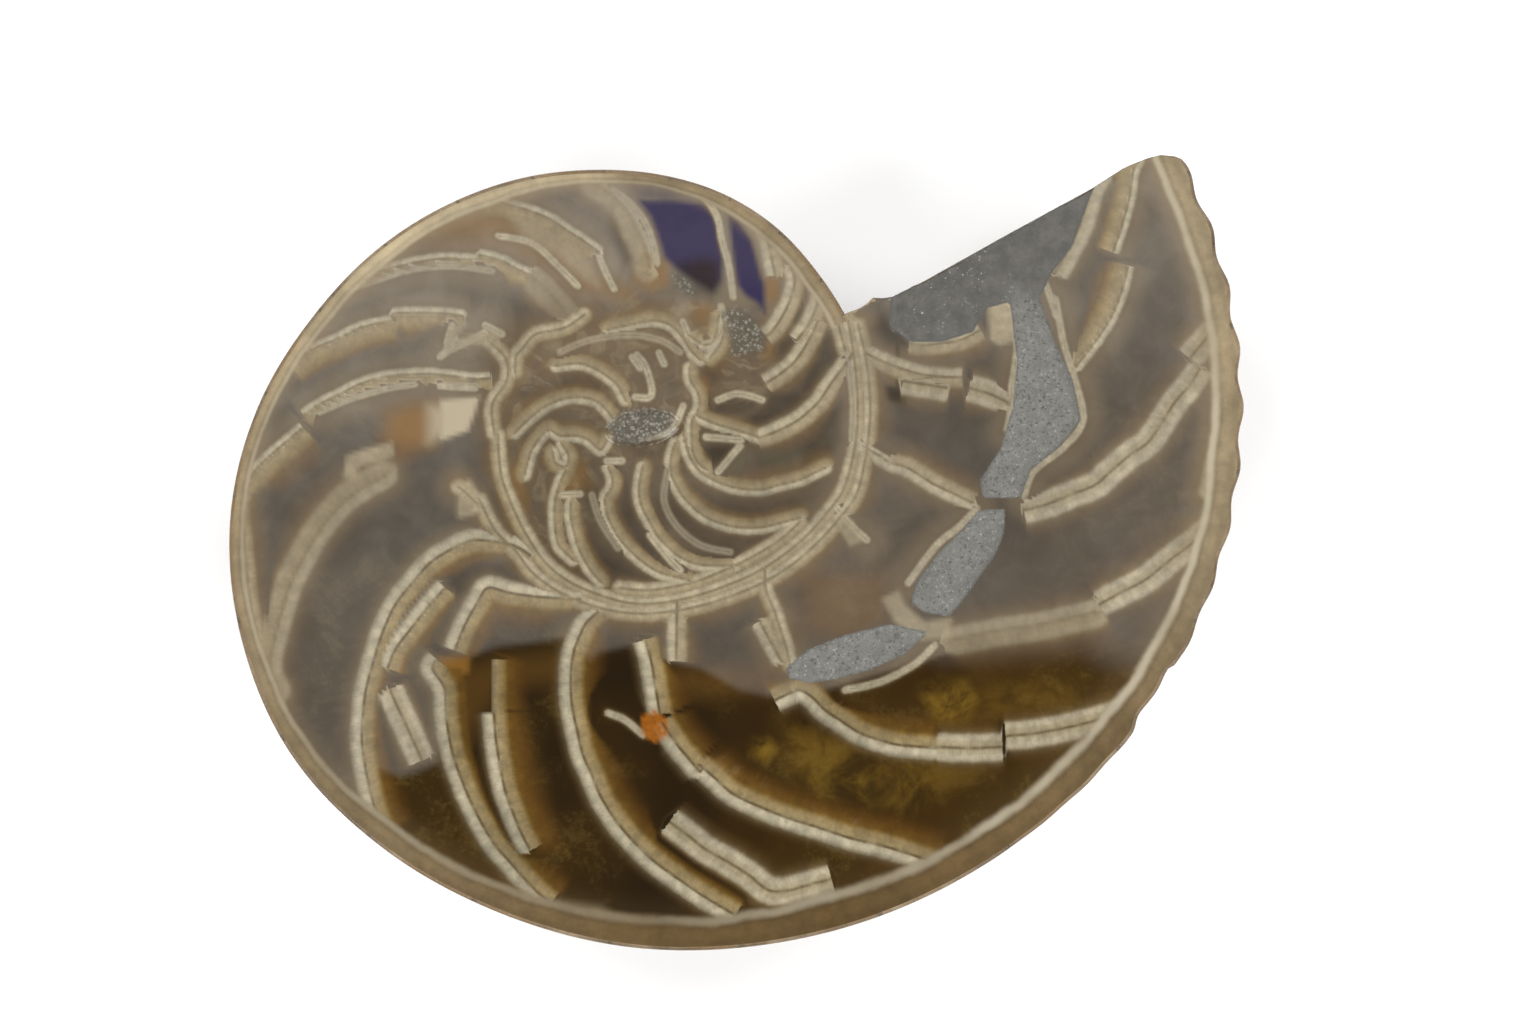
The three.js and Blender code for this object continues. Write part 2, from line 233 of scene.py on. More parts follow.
INNER_LINES = [
    ("fine", 1, [(556, 366), (570, 364), (582, 364), (595, 369), (605, 375), (615, 383), (620, 390),
        (625, 400)]),
    ("fine", 1, [(515, 433), (525, 423), (540, 410), (555, 402), (570, 398), (585, 398), (597, 402),
        (606, 410), (612, 418)]),
    ("fine", 1, [(525, 475), (528, 462), (532, 450), (540, 438), (549, 430), (560, 436), (575, 436),
        (588, 440), (600, 450), (607, 441)]),
    ("fine", 1, [(562, 445), (568, 455), (566, 466), (556, 463), (553, 452)]),
    ("fine", 1, [(566, 470), (561, 480), (556, 495), (554, 510), (555, 530), (558, 545), (565, 553),
        (573, 560)]),
    ("fine", 1, [(571, 500), (570, 515), (573, 530), (577, 545), (583, 558), (590, 570), (600, 582)]),
    ("thread", 1, [(562, 495), (580, 494)]),
    ("thread", 1, [(607, 461), (622, 461)]),
    ("fine", 1, [(608, 468), (612, 478), (611, 488), (605, 498), (606, 512), (612, 527), (620, 540),
        (632, 553), (645, 564), (660, 573), (675, 577), (690, 581)]),
    ("fine", 1, [(642, 468), (639, 485), (639, 497), (642, 508), (648, 520), (655, 533), (665, 545),
        (678, 556), (695, 564), (715, 566), (736, 566)]),
    ("thread", 1, [(650, 535), (660, 548), (670, 560), (680, 570)]),
    ("fine", 1, [(675, 443), (671, 455), (670, 470), (673, 480), (680, 493), (690, 505), (705, 517),
        (725, 525), (745, 528), (765, 527), (785, 522), (800, 518)]),
    ("fine", 1, [(684, 440), (690, 458), (700, 472), (715, 481), (735, 488), (760, 490), (780, 485),
        (800, 480), (815, 473), (826, 468)]),
    ("fine", 1, [(689, 368), (690, 380), (697, 392), (699, 402), (697, 412), (692, 420), (691, 435),
        (692, 450), (697, 462), (706, 470)]),
    ("fine", 1, [(608, 330), (620, 327), (640, 323), (655, 321), (668, 324), (678, 332), (685, 342),
        (692, 352), (700, 360)]),
    ("fine", 1, [(687, 334), (702, 344), (712, 343), (717, 332), (719, 316)]),
    ("fine", 1, [(722, 315), (724, 329), (720, 344), (710, 357)]),
    ("thread", 1, [(632, 357), (640, 368)]),
    ("thread", 1, [(637, 355), (645, 365), (650, 380), (652, 392), (648, 398), (635, 397)]),
    ("thread", 1, [(659, 353), (664, 364)]),
    ("fine", 1, [(697, 416), (715, 424), (735, 430), (757, 437)]),
    ("thread", 1, [(706, 437), (741, 440)]),
    ("thread", 1, [(718, 400), (735, 394), (750, 396), (762, 400)]),
    ("thread", 1, [(718, 472), (740, 446)]),
    ("thread", 1, [(642, 437), (662, 435), (675, 425), (683, 406)]),
    ("thread", 1, [(683, 322), (690, 337), (704, 344), (717, 338), (724, 322), (721, 306)], 0.8, 0.8),
    ("thread", 1, [(560, 352), (590, 340), (630, 335), (660, 340), (680, 352)], 0.5, 0.6),
    ("thread", 1, [(618, 548), (600, 520), (592, 495)], 0.5, 0.5),
    ("thread", 1, [(668, 470), (664, 500), (676, 525), (700, 545), (730, 552)], 0.5, 0.5),
]
# Patches of one kind on the face: kind, soft edge in tenths of a millimetre, strength, outline
PATCHES = [
    ("sediment", 4, 1.0, [(891, 296), (947, 256), (1097, 182), (1089, 200), (1072, 247), (1051, 274),
        (1040, 298), (1055, 340), (1073, 380), (1081, 420), (1061, 446), (1031, 470), (1021, 498),
        (982, 498), (980, 480), (1001, 448), (1013, 406), (1017, 362), (1010, 302), (987, 308), (973, 332),
        (941, 342), (910, 342), (889, 326)]),
    ("sediment", 4, 1.0, [(979, 510), (1005, 509), (1004, 534), (995, 556), (959, 606), (949, 617),
        (923, 612), (911, 602), (916, 582), (941, 550), (962, 530)]),
    ("sediment", 4, 1.0, [(929, 632), (889, 624), (845, 635), (807, 650), (786, 668), (789, 679),
        (811, 683), (837, 679), (871, 670), (905, 654)]),
    ("sandy", 12, 1.0, [(1012, 290), (1040, 298), (1055, 340), (1073, 380), (1081, 420), (1061, 446),
        (1031, 470), (1021, 498), (1004, 534), (959, 606), (929, 640), (905, 660), (837, 690), (786, 690),
        (780, 660), (845, 628), (911, 596), (941, 545), (980, 500), (990, 450), (1005, 400)]),
    ("violet", 5, 1.0, [(637, 199), (670, 200), (703, 202), (715, 214), (720, 231), (724, 260), (722, 281),
        (713, 292), (697, 283), (678, 270), (664, 258), (658, 239), (650, 217)]),
    ("violet", 4, 1.0, [(728, 215), (740, 222), (752, 240), (758, 262), (764, 285), (765, 314), (758, 303),
        (746, 296), (737, 285), (733, 260)]),
    ("violet", 10, 0.45, [(625, 180), (685, 185), (702, 205), (640, 202)]),
    ("milk", 3, 1.0, [(440, 400), (479, 397), (475, 412), (468, 431), (440, 441)]),
    ("milk", 11, 0.8, [(428, 406), (450, 404), (450, 434), (428, 442)]),
    ("amber", 14, 1.0, [(386, 412), (410, 403), (436, 403), (434, 446), (402, 456), (382, 442)]),
    ("amber", 8, 0.8, [(692, 304), (708, 302), (716, 312), (708, 326), (694, 322)]),
    ("dark", 8, 0.8, [(610, 205), (622, 222), (632, 245), (636, 262), (624, 262), (612, 240)]),
    ("dark", 9, 0.8, [(676, 266), (700, 258), (718, 262), (722, 285), (712, 300), (696, 292)]),
    ("dark", 4, 0.6, [(778, 226), (790, 238), (800, 258), (793, 264), (783, 250)]),
    ("dark", 5, 0.75, [(803, 272), (812, 284), (806, 308), (796, 324), (790, 320), (799, 298)]),
    ("dark", 6, 0.7, [(818, 342), (836, 342), (844, 355), (830, 376), (812, 391), (800, 396), (808, 372)]),
    ("dark", 6, 0.65, [(770, 394), (800, 392), (810, 396), (794, 411), (768, 424), (745, 430), (733, 423),
        (755, 412)]),
    ("dark", 8, 0.5, [(445, 572), (520, 562), (526, 585), (472, 590), (456, 600)]),
    ("dark", 8, 0.55, [(830, 410), (842, 400), (842, 440), (825, 462), (800, 472), (805, 445)]),
    ("amber", 6, 0.6, [(760, 340), (776, 342), (776, 360), (762, 362)]),
    ("amber", 9, 0.6, [(575, 268), (610, 276), (640, 290), (636, 304), (600, 296), (572, 290)]),
    ("amber", 9, 0.85, [(560, 470), (585, 462), (590, 485), (570, 500), (556, 492)]),
    ("amber", 9, 0.75, [(505, 470), (520, 462), (528, 500), (522, 540), (508, 520)]),
    ("dark", 10, 0.6, [(776, 340), (800, 334), (812, 343), (800, 360), (778, 366)]),
    ("cream", 8, 0.55, [(548, 900), (600, 908), (622, 920), (600, 930), (556, 918)]),
    ("cream", 8, 0.5, [(932, 866), (975, 842), (1004, 830), (998, 846), (955, 870)]),
    ("glints", 12, 1.0, [(905, 262), (960, 238), (1012, 240), (1010, 290), (960, 326), (905, 330)]),
    ("glints", 4, 0.5, [(536, 764), (565, 766), (565, 778), (536, 776)]),
    ("glints", 4, 0.5, [(668, 903), (690, 903), (690, 918), (668, 916)]),
    ("amber", 26, 0.8, [(400, 225), (435, 205), (480, 200), (520, 215), (560, 240), (590, 270), (600, 290),
        (575, 285), (540, 262), (500, 245), (450, 245)]),
    ("cream", 8, 0.6, [(505, 210), (540, 222), (570, 240), (590, 262), (598, 286), (580, 276), (556, 256),
        (525, 238)]),
    ("amber", 7, 0.9, [(645, 250), (668, 262), (668, 285), (650, 292), (632, 282)]),
    ("amber", 5, 1.0, [(440, 657), (470, 655), (470, 672), (456, 680), (444, 674)]),
    ("rust", 2, 1.0, [(641, 717), (655, 710), (668, 720), (669, 735), (655, 743), (643, 736)]),
    ("amber", 8, 1.0, [(764, 278), (780, 276), (780, 300), (766, 302)]),
    ("cream", 3, 0.8, [(347, 456), (343, 478), (352, 480), (360, 466), (384, 460), (394, 455), (392, 442),
        (362, 450)]),
    ("cream", 3, 0.8, [(458, 487), (470, 479), (482, 500), (475, 514), (458, 518)]),
    ("dark", 5, 0.7, [(463, 492), (470, 488), (476, 500), (470, 508), (463, 508)]),
    ("cream", 3, 0.7, [(452, 325), (447, 345), (457, 338), (468, 322)]),
    ("cream", 3, 0.7, [(437, 357), (450, 345), (470, 334), (502, 330), (498, 345), (470, 345)]),
    ("cream", 3, 0.9, [(988, 305), (1000, 297), (1012, 297), (1016, 340), (1000, 345), (990, 340)]),
    ("cream", 4, 0.7, [(882, 599), (899, 591), (905, 605), (925, 622), (952, 618), (950, 638), (920, 640),
        (895, 622)]),
    ("cream", 3, 0.6, [(828, 512), (852, 520), (866, 540), (850, 546)]),
    ("dark", 8, 0.75, [(715, 398), (757, 398), (757, 412), (715, 412)]),
    ("dark", 8, 0.7, [(706, 400), (712, 393), (712, 413), (706, 413)]),
    ("dark", 8, 0.9, [(703, 447), (712, 444), (737, 445), (722, 462), (712, 467), (704, 457)]),
    ("amber", 8, 0.6, [(690, 385), (706, 372), (712, 392), (700, 404)]),
    ("dark", 8, 0.6, [(700, 356), (722, 358), (728, 376), (712, 384), (702, 372)]),
    ("dark", 3, 1.0, [(1000, 722), (1006, 723), (1012, 754), (1005, 754)]),
    ("dark", 3, 0.9, [(896, 335), (900, 335), (901, 400), (896, 400)]),
    ("amber", 16, 0.3, [(455, 672), (500, 655), (560, 655), (570, 680), (500, 690), (470, 740),
        (450, 720)]),
    ("amber", 14, 0.3, [(505, 700), (520, 700), (545, 800), (560, 850), (540, 850), (515, 780)]),
    ("amber", 16, 0.25, [(665, 668), (770, 665), (780, 690), (690, 700)]),
    ("olive", 8, 0.8, [(759, 450), (820, 448), (818, 470), (765, 475)]),
    ("olive", 4, 0.8, [(725, 466), (742, 448), (750, 450), (750, 460), (736, 475)]),
    ("dark", 12, 0.8, [(808, 335), (835, 330), (845, 350), (840, 375), (815, 372)]),
    ("dark", 10, 0.55, [(585, 480), (600, 500), (600, 540), (625, 572), (600, 575), (580, 540)]),
    ("dark", 10, 0.5, [(625, 480), (634, 505), (650, 540), (665, 562), (640, 552), (620, 525)]),
    ("dark", 10, 0.45, [(655, 500), (680, 530), (715, 552), (740, 552), (700, 530), (672, 500)]),
    ("dark", 10, 0.45, [(700, 490), (740, 508), (790, 500), (800, 505), (760, 520), (715, 512)]),
    ("dark", 10, 0.6, [(560, 375), (590, 372), (610, 390), (600, 396), (560, 394)]),
    ("dark", 10, 0.5, [(545, 520), (562, 500), (562, 540), (580, 570), (560, 565)]),
    ("dark", 14, 0.7, [(620, 420), (700, 420), (700, 450), (640, 450)]),
    ("grit", 5, 1.0, [(608, 425), (620, 412), (650, 408), (672, 412), (670, 428), (640, 444), (618, 442)]),
    ("grit", 5, 0.9, [(722, 312), (740, 308), (752, 318), (765, 335), (765, 350), (748, 353), (733, 356),
        (728, 335)]),
    ("grit", 3, 0.7, [(672, 272), (690, 280), (695, 292), (690, 296), (678, 288)]),
    ("dark", 10, 0.9, [(880, 310), (905, 330), (910, 347), (888, 345), (872, 330)]),
    ("dark", 4, 1.0, [(885, 386), (909, 388), (905, 405), (888, 400)]),
    ("dark", 3, 0.9, [(1042, 397), (1062, 404), (1080, 408), (1080, 416), (1062, 414)]),
    ("amber", 16, 0.4, [(805, 575), (885, 575), (885, 620), (850, 640), (805, 630)]),
    ("yellow", 12, 1.0, [(923, 690), (940, 681), (965, 684), (978, 700), (968, 722), (940, 722)]),
    ("yellow", 10, 0.9, [(755, 740), (768, 738), (776, 750), (765, 760), (752, 755)]),
    ("yellow", 14, 0.8, [(845, 770), (865, 765), (875, 785), (868, 810), (848, 812)]),
    ("yellow", 20, 0.45, [(780, 720), (860, 740), (980, 770), (900, 810), (800, 790)]),
    ("yellow", 20, 0.35, [(980, 690), (1080, 680), (1080, 705), (985, 715)]),
    # The next two patches are the painted reflection of the overhead light on the polished upper face
    ("painted_reflection", 5, 1.0, [(150, 60), (960, 60), (960, 650), (930, 660), (790, 700), (740, 690), (700, 668),
        (668, 661), (650, 641), (600, 652), (590, 660), (570, 637), (545, 641), (500, 646), (470, 656),
        (447, 662), (441, 700), (442, 740), (437, 763), (420, 771), (400, 776), (378, 769), (378, 800),
        (360, 860), (150, 860)]),
    ("painted_reflection", 24, 1.0, [(900, 60), (1330, 60), (1330, 640), (1190, 665), (1110, 660), (1080, 645),
        (1000, 652), (940, 652), (900, 640)]),
    ("tan", 26, 0.6, [(500, 400), (515, 350), (600, 318), (690, 325), (705, 365), (640, 352), (570, 360),
        (530, 420), (510, 440)]),
    ("tan", 24, 0.4, [(500, 440), (560, 440), (600, 470), (580, 590), (530, 540)]),
    ("tan", 26, 0.45, [(560, 375), (640, 350), (700, 380), (690, 440), (620, 470), (560, 440)]),
    ("tan", 18, 0.5, [(700, 340), (770, 345), (760, 400), (710, 395)]),
    ("tan", 14, 0.6, [(600, 320), (640, 290), (700, 300), (730, 350), (700, 365), (660, 330)]),
    ("tan", 8, 0.8, [(708, 765), (740, 790), (780, 810), (830, 828), (880, 840), (870, 826), (820, 812),
        (770, 792), (725, 762)]),
]
KINDS = ["sediment", "sandy", "violet", "milk", "amber", "rust", "cream", "dark", "olive", "grit",
         "yellow", "painted_reflection", "tan", "glints"]
PITS = [(372, 542), (333, 604), (335, 484), (410, 757), (949, 556), (993, 543), (1034, 332), (1025, 403),
        (1046, 356)]
# Radius of a pit, in tenths of a millimetre, and its depth in millimetres
PIT_RADIUS, PIT_DEPTH = 4, 0.2
# Where the one UV map keeps the face, the unrolled flank above it and the broken wall between them
UV_MARGIN = 0.005
UV_FACE_CORNER, UV_FACE_SPAN, UV_FACE_SHARE = (-51, -40), 102, 0.99
UV_FLANK_LOW, UV_FLANK_HEIGHT, UV_FLANK_SPAN, UV_TURN = 0.87, 0.125, 90, 364
UV_WALL_LOW, UV_WALL_SPAN = 0.8, 330

# How a line of shell of width 10 fades away from its middle: tenths of a millimetre, strength, colour
FADE_WIDTH, FADE_REACH = 10, 40
PALE_FADE = [
    (0, 0.85, (144, 132, 104)), (3, 1.0, (170, 160, 134)), (6, 1.0, (173, 163, 138)),
    (9, 0.95, (158, 148, 124)), (12, 0.75, (132, 121, 98)), (14, 0.42, (108, 94, 68)),
    (18, 0.2, (90, 72, 42)), (23, 0, (78, 56, 26)),
]
TAN_FADE = [
    (0, 0.85, (138, 121, 86)), (4, 1.0, (147, 129, 92)), (9, 1.0, (133, 112, 70)),
    (12, 0.92, (123, 98, 52)), (15, 0.74, (106, 77, 28)), (23, 0.5, (100, 68, 20)),
    (31, 0.24, (88, 56, 14)), (39, 0, (70, 44, 10)),
]
# The outer wall by degrees about the spiral centre: its thickness in tenths of a millimetre, its tone
# from brown to cream, and how bright the line inside it is
WALL = [
    (27, 16, 0.5, 0.6), (60, 15, 0.42, 0.5), (90, 11, 0.4, 0.3), (108, 13, 0.8, 0.4), (125, 16, 1.0, 0.35),
    (150, 16, 0.85, 0.4), (180, 14, 0.52, 0.5), (205, 15, 0.46, 0.5), (225, 21, 0.32, 0.5),
    (250, 26, 0.16, 0.35), (270, 29, 0.08, 0.3), (290, 33, 0.06, 0.6), (310, 33, 0.1, 0.9),
    (328, 32, 0.16, 1.0), (345, 27, 0.45, 1.0), (372, 26, 0.55, 1.0), (388, 24, 0.6, 0.8),
]


# How much brighter than its own colour the stage's lights show a surface
LIGHT_LEVEL = 1.45


def display(red, green, blue):
    """A colour as the lit fossil shows it, 0 to 255, as the linear values that a shader takes."""
    def linear(value):
        value /= 255
        value = value / 12.92 if value <= 0.04045 else ((value + 0.055) / 1.055) ** 2.4
        return value / LIGHT_LEVEL
    return (linear(red), linear(green), linear(blue), 1.0)


def mix(a, b, t):
    return a + (b - a) * t


def smooth(low, high, value):
    t = np.clip((value - low) / (high - low), 0, 1)
    return t * t * (3 - 2 * t)


@lru_cache(maxsize=None)
def rib_height(angle):
    wave = math.cos((angle - RIB_PEAK) / RIB_PERIOD * 2 * math.pi)
    return RIB_HEIGHT * wave * float(smooth(RIB_START, RIB_FULL, angle))


def whorl_radius(angle):
    """The smooth curve through the whorl's radii, one every 15 degrees."""
    place = (angle - APERTURE_ANGLE) / 360 * (len(WHORL_RADII) - 1)
    last = len(WHORL_RADII) - 1
    i = min(int(place), last - 1)
    t = place - i
    a, b, c, d = (WHORL_RADII[min(max(k, 0), last)] for k in (i - 1, i, i + 1, i + 2))
    return 0.5 * (2 * b + (c - a) * t + (2 * a - 5 * b + 4 * c - d) * t ** 2
                  + (3 * b - a - 3 * c + d) * t ** 3)


@lru_cache(maxsize=None)
def rim_radius(angle):
    tip = max(0, (angle - APERTURE_ANGLE - 360 + TIP_ROUNDING_SPAN) / TIP_ROUNDING_SPAN)
    chip = float(smooth(CHIP_FROM, CHIP_FROM + 2, angle) * (1 - smooth(CHIP_TO - 1, CHIP_TO, angle)))
    return whorl_radius(angle) + rib_height(angle) - TIP_ROUNDING_DROP * tip ** 3 - CHIP_DEPTH * chip


@lru_cache(maxsize=None)
def aperture_step(radius):
    return float(np.interp(radius, *zip(*APERTURE_STEPS)))


@lru_cache(maxsize=None)
def flank_depth(angle):
    age = (angle - APERTURE_ANGLE) / 360
    return mix(YOUNG_FLANK, FACE_HEIGHT, 1 - (1 - age) ** FLANK_GROWTH_POWER)


class FlankRows:
    """The rows of the outside in one radial plane: the rounded edge, the flank and the umbilicus."""
    edge, flank, umbilicus = 3, 24, 7
    count = edge + flank + umbilicus + 1

    @classmethod
    def point(cls, angle, row):
        """Radius and depth of a row, which may lie between two whole rows."""
        rim = rim_radius(angle)
        if row <= cls.edge:
            turn = row / cls.edge * math.pi / 2
            return (rim - EDGE_ROUNDING * (1 - math.sin(turn)), EDGE_ROUNDING * (1 - math.cos(turn)))
        widest = flank_depth(angle)
        if row <= cls.edge + cls.flank:
            swing = (row - cls.edge) / cls.flank * math.pi / 2
            out = max(0, math.cos(swing)) ** (2 / FLANK_ROUNDNESS)
            down = max(0, math.sin(swing)) ** (2 / FLANK_ROUNDNESS)
            lift = rib_height(angle - RIB_LEAN * (1 - out)) * down * out
            return (rim * mix(SHOULDER, 1, out), mix(EDGE_ROUNDING, widest, down) + lift)
        inward = 1 - (row - cls.edge - cls.flank) / cls.umbilicus
        return (rim * SHOULDER * inward, mix(UMBILICUS_DEPTH, widest, 1 - (1 - inward) ** 2))


def whorl_place(radius, angle, depth, on_seam, hollow=0):
    """A point of the shell. On the seam it also follows the steps of the broken aperture."""
    turn = math.radians(angle)
    step = (aperture_step(radius) if on_seam else 0) - hollow
    return Vector((
        SPIRAL_CENTRE[0] + radius * math.cos(turn) - step * math.sin(turn),
        SPIRAL_CENTRE[1] + radius * math.sin(turn) + step * math.cos(turn),
        FACE_HEIGHT - depth,
    ))


def on_face(vert):
    return abs(vert.co.z - FACE_HEIGHT) < TOUCHING


def spin_outside(bm, columns):
    """Spins a chain of points about the spiral centre, then gives each its place on the whorl."""
    chain = []
    for row in range(FlankRows.count):
        radius, depth = FlankRows.point(APERTURE_ANGLE, row)
        chain.append(bm.verts.new(whorl_place(radius, APERTURE_ANGLE, depth, False)))
    edges = [bm.edges.new(pair) for pair in zip(chain, chain[1:])]
    bmesh.ops.spin(bm, geom=chain + edges, cent=(*SPIRAL_CENTRE, 0), axis=(0, 0, 1),
                   angle=2 * math.pi, steps=columns, use_merge=False)
    bm.verts.ensure_lookup_table()
    across = bm.verts.layers.float.new("across")
    row_of = bm.verts.layers.float.new("row")
    for number, vert in enumerate(bm.verts):
        column, row = divmod(number, FlankRows.count)
        angle = APERTURE_ANGLE + 360 * column / columns
        radius, depth = FlankRows.point(angle, row)
        vert.co = whorl_place(radius, angle, depth, column in (0, columns))
        vert[row_of] = row
        vert[across] = 1 if column == columns else 0


def build_aperture_wall(bm, columns, rings):
    """Bridges the young end of the whorl to its last outline with a rough, hollow broken wall."""
    across = bm.verts.layers.float["across"]
    row_of = bm.verts.layers.float["row"]
    bm.verts.ensure_lookup_table()
    ends = []
    for first in (0, columns * FlankRows.count):
        chain = bm.verts[first:first + FlankRows.count]
        ends += [bm.edges.get(pair) for pair in zip(chain, chain[1:])]
    made = bmesh.ops.bridge_loops(bm, edges=ends)
    cut = bmesh.ops.subdivide_edges(bm, edges=made["edges"], cuts=rings - 1, use_grid_fill=True)
    wall_verts = {part for part in cut["geom_inner"] if isinstance(part, bmesh.types.BMVert)}
    end = APERTURE_ANGLE + 360
    for vert in wall_verts:
        share, row = vert[across], vert[row_of]
        inner = FlankRows.point(APERTURE_ANGLE, row)
        outer = FlankRows.point(end, row)
        radius, depth = mix(inner[0], outer[0], share), mix(inner[1], outer[1], share)
        middle = math.sin(math.pi * share) * math.sin(math.pi * row / (FlankRows.count - 1))
        grain = noise.fractal(Vector((radius, depth, 3)) * WALL_GRAIN, 0.6, 2, 4)
        rough = WALL_ROUGHNESS * grain * min(1, 4 * middle)
        vert.co = whorl_place(radius, end, depth, True, WALL_HOLLOW * middle + rough)


def slice_flat(bm, faces, axis, low, high, spacing):
    """Cuts flat faces into strips across one axis and gives back all the strips."""
    waiting, done = list(faces), []
    normal = Vector((1, 0, 0)) if axis == 0 else Vector((0, 1, 0))
    for step in range(1, int((high - low) / spacing) + 1):
        position = low + step * spacing
        edges = {edge for face in waiting for edge in face.edges}
        verts = {vert for edge in edges for vert in edge.verts}
        result = bmesh.ops.bisect_plane(bm, geom=list(verts) + list(edges) + waiting, dist=TOUCHING,
                                        plane_co=normal * position, plane_no=normal)
        parts = [part for part in result["geom"] if isinstance(part, bmesh.types.BMFace)]
        waiting = []
        for face in parts:
            beyond = max(vert.co[axis] for vert in face.verts) > position + 10 * TOUCHING
            (waiting if beyond else done).append(face)
        if not waiting:
            break
    return done + waiting


def build_face(bm, coarse, fine_box):
    """Fills the flat face inside the rim and cuts it fine enough to hold its marks."""
    rim = [edge for edge in bm.edges if edge.is_boundary and all(on_face(vert) for vert in edge.verts)]
    whole = bmesh.ops.contextual_create(bm, geom=rim)["faces"]
    xs = [vert.co.x for edge in rim for vert in edge.verts]
    ys = [vert.co.y for edge in rim for vert in edge.verts]
    strips = slice_flat(bm, whole, 0, min(xs), max(xs), coarse)
    cells = slice_flat(bm, strips, 1, min(ys), max(ys), coarse)
    (left, bottom), (right, top) = fine_box
    inside = []
    for face in cells:
        middle = face.calc_center_median()
        if left < middle.x < right and bottom < middle.y < top:
            inside.append(face)
    edges = list({edge for face in inside for edge in face.edges})
    bmesh.ops.subdivide_edges(bm, edges=edges, cuts=1, use_grid_fill=True)


def sheet_points(coordinates):
    """Points of the face, in millimetres, as places on the measuring sheet."""
    return np.stack([coordinates[:, 0] * 10 + SHEET_ORIGIN[0], SHEET_ORIGIN[1] - coordinates[:, 1] * 10], 1)


def curve_through(points, steps=6):
    """A smooth open curve through a few points."""
    p = np.array([points[0], *points, points[-1]], float)
    t = np.linspace(0, 1, steps, endpoint=False)[:, None]
    parts = []
    for a, b, c, d in zip(p, p[1:], p[2:], p[3:]):
        parts.append(0.5 * (2 * b + (c - a) * t + (2 * a - 5 * b + 4 * c - d) * t ** 2
                            + (3 * b - a - 3 * c + d) * t ** 3))
    return np.vstack([*parts, p[-1:]])


def patch_distance(sheet, outline):
    """Distance inside an outline, in tenths of a millimetre, negative outside it."""
    ring = np.array(outline, float)
    best = np.full(len(sheet), UNREACHED)
    inside = np.zeros(len(sheet), bool)
    for a, b in zip(ring, np.roll(ring, -1, 0)):
        along = b - a
        t = np.clip(((sheet - a) @ along) / max(along @ along, 1e-9), 0, 1)
        best = np.minimum(best, np.linalg.norm(sheet - a - t[:, None] * along, axis=1))
        crosses = (a[1] > sheet[:, 1]) != (b[1] > sheet[:, 1])
        rise = along[1] if along[1] else 1e-9
        inside ^= crosses & (sheet[:, 0] < a[0] + (sheet[:, 1] - a[1]) * along[0] / rise)
    return np.where(inside, best, -best)


def distance_to_line(here, curve, square):
    """Distance to a curve and beside it, the side, the way along it, and how far past its ends."""
    best, beside, side, along_at = (np.full(len(here), UNREACHED) for _ in range(4))
    past = np.full(len(here), -float(END_REACH))
    lengths = np.linalg.norm(np.diff(curve, axis=0), axis=1)
    last = len(lengths) - 1
    run = 0.0
    for number, (a, b, length) in enumerate(zip(curve, curve[1:], lengths)):
        along = (b - a) / max(length, 1e-9)
        offset = here - a
        t = offset @ along
        clipped = np.clip(t, 0, length)
        across = along[0] * offset[:, 1] - along[1] * offset[:, 0]
        distance = np.hypot(across, t - clipped)
        closer = distance < best
        best = np.where(closer, distance, best)
        side = np.where(closer, np.sign(across), side)
        along_at = np.where(closer, run + clipped, along_at)
        beyond = np.full(len(here), -float(END_REACH))
        if square and number == 0:
            beyond = np.maximum(beyond, -t)
        if square and number == last:
            beyond = np.maximum(beyond, t - length)
        spread = np.abs(across) + END_SPREAD * np.maximum(beyond - END_SPREAD_FROM, 0)
        beside = np.where(closer, np.where(beyond > 0, spread, distance), beside)
        past = np.where(closer, beyond, past)
        run += length
    return best, beside, side, along_at, run, past


def line_fields(sheet):
    """For each place: signed and plain distance to the nearest line of shell, and that line's look."""
    count = len(sheet)
    signed, plain, nearest, second = (np.full(count, float(FAR)) for _ in range(4))
    looks = {name: np.zeros(count) for name in ("width", "glow", "warm", "edge", "line", "along", "past")}
    looks["width"] += PLAIN_WIDTH
    looks["past"] -= END_REACH
    for style, pale_side, points, *strength in OUTER_LINES + WALL_LINES + INNER_LINES:
        look = STYLES[style]
        start, end = strength if strength else (1, 1)
        curve = curve_through(points)
        reach = max(LINE_REACH, max(look["width"]) * FADE_REACH / FADE_WIDTH + 2)
        near = np.flatnonzero(np.all((sheet > curve.min(0) - reach) & (sheet < curve.max(0) + reach), 1))
        best, beside, side, along, total, past = distance_to_line(sheet[near], curve, look["square"])
        best = best + np.clip(END_PENALTY * past, 0, END_PENALTY_MOST)
        closer = best < nearest[near]
        second[near] = np.where(closer, nearest[near], np.minimum(second[near], best))
        rows = near[closer]
        nearest[rows] = best[closer]
        plain[rows] = beside[closer]
        signed[rows] = (beside * side * pale_side)[closer]
        pale = (side * pale_side)[closer] > 0
        strong = mix(start, end, along[closer] / total)
        for name in ("width", "glow", "warm"):
            looks[name][rows] = np.where(pale, look[name][0], look[name][1])
        looks["glow"][rows] *= strong
        looks["edge"][rows] = look["edge"]
        looks["line"][rows] = look["line"] * strong
        looks["along"][rows] = along[closer] + BRICK_SHIFT * len(points)
        looks["past"][rows] = past[closer]
    shared = (1 - smooth(*SHARED_GAP, second - nearest)) * smooth(*SHARED_DISTANCE, nearest)
    looks["glow"] *= (1 - shared) * np.where(plain < BAND, 1 - smooth(*GLOW_END, looks["past"]), 1)
    return signed, plain, looks


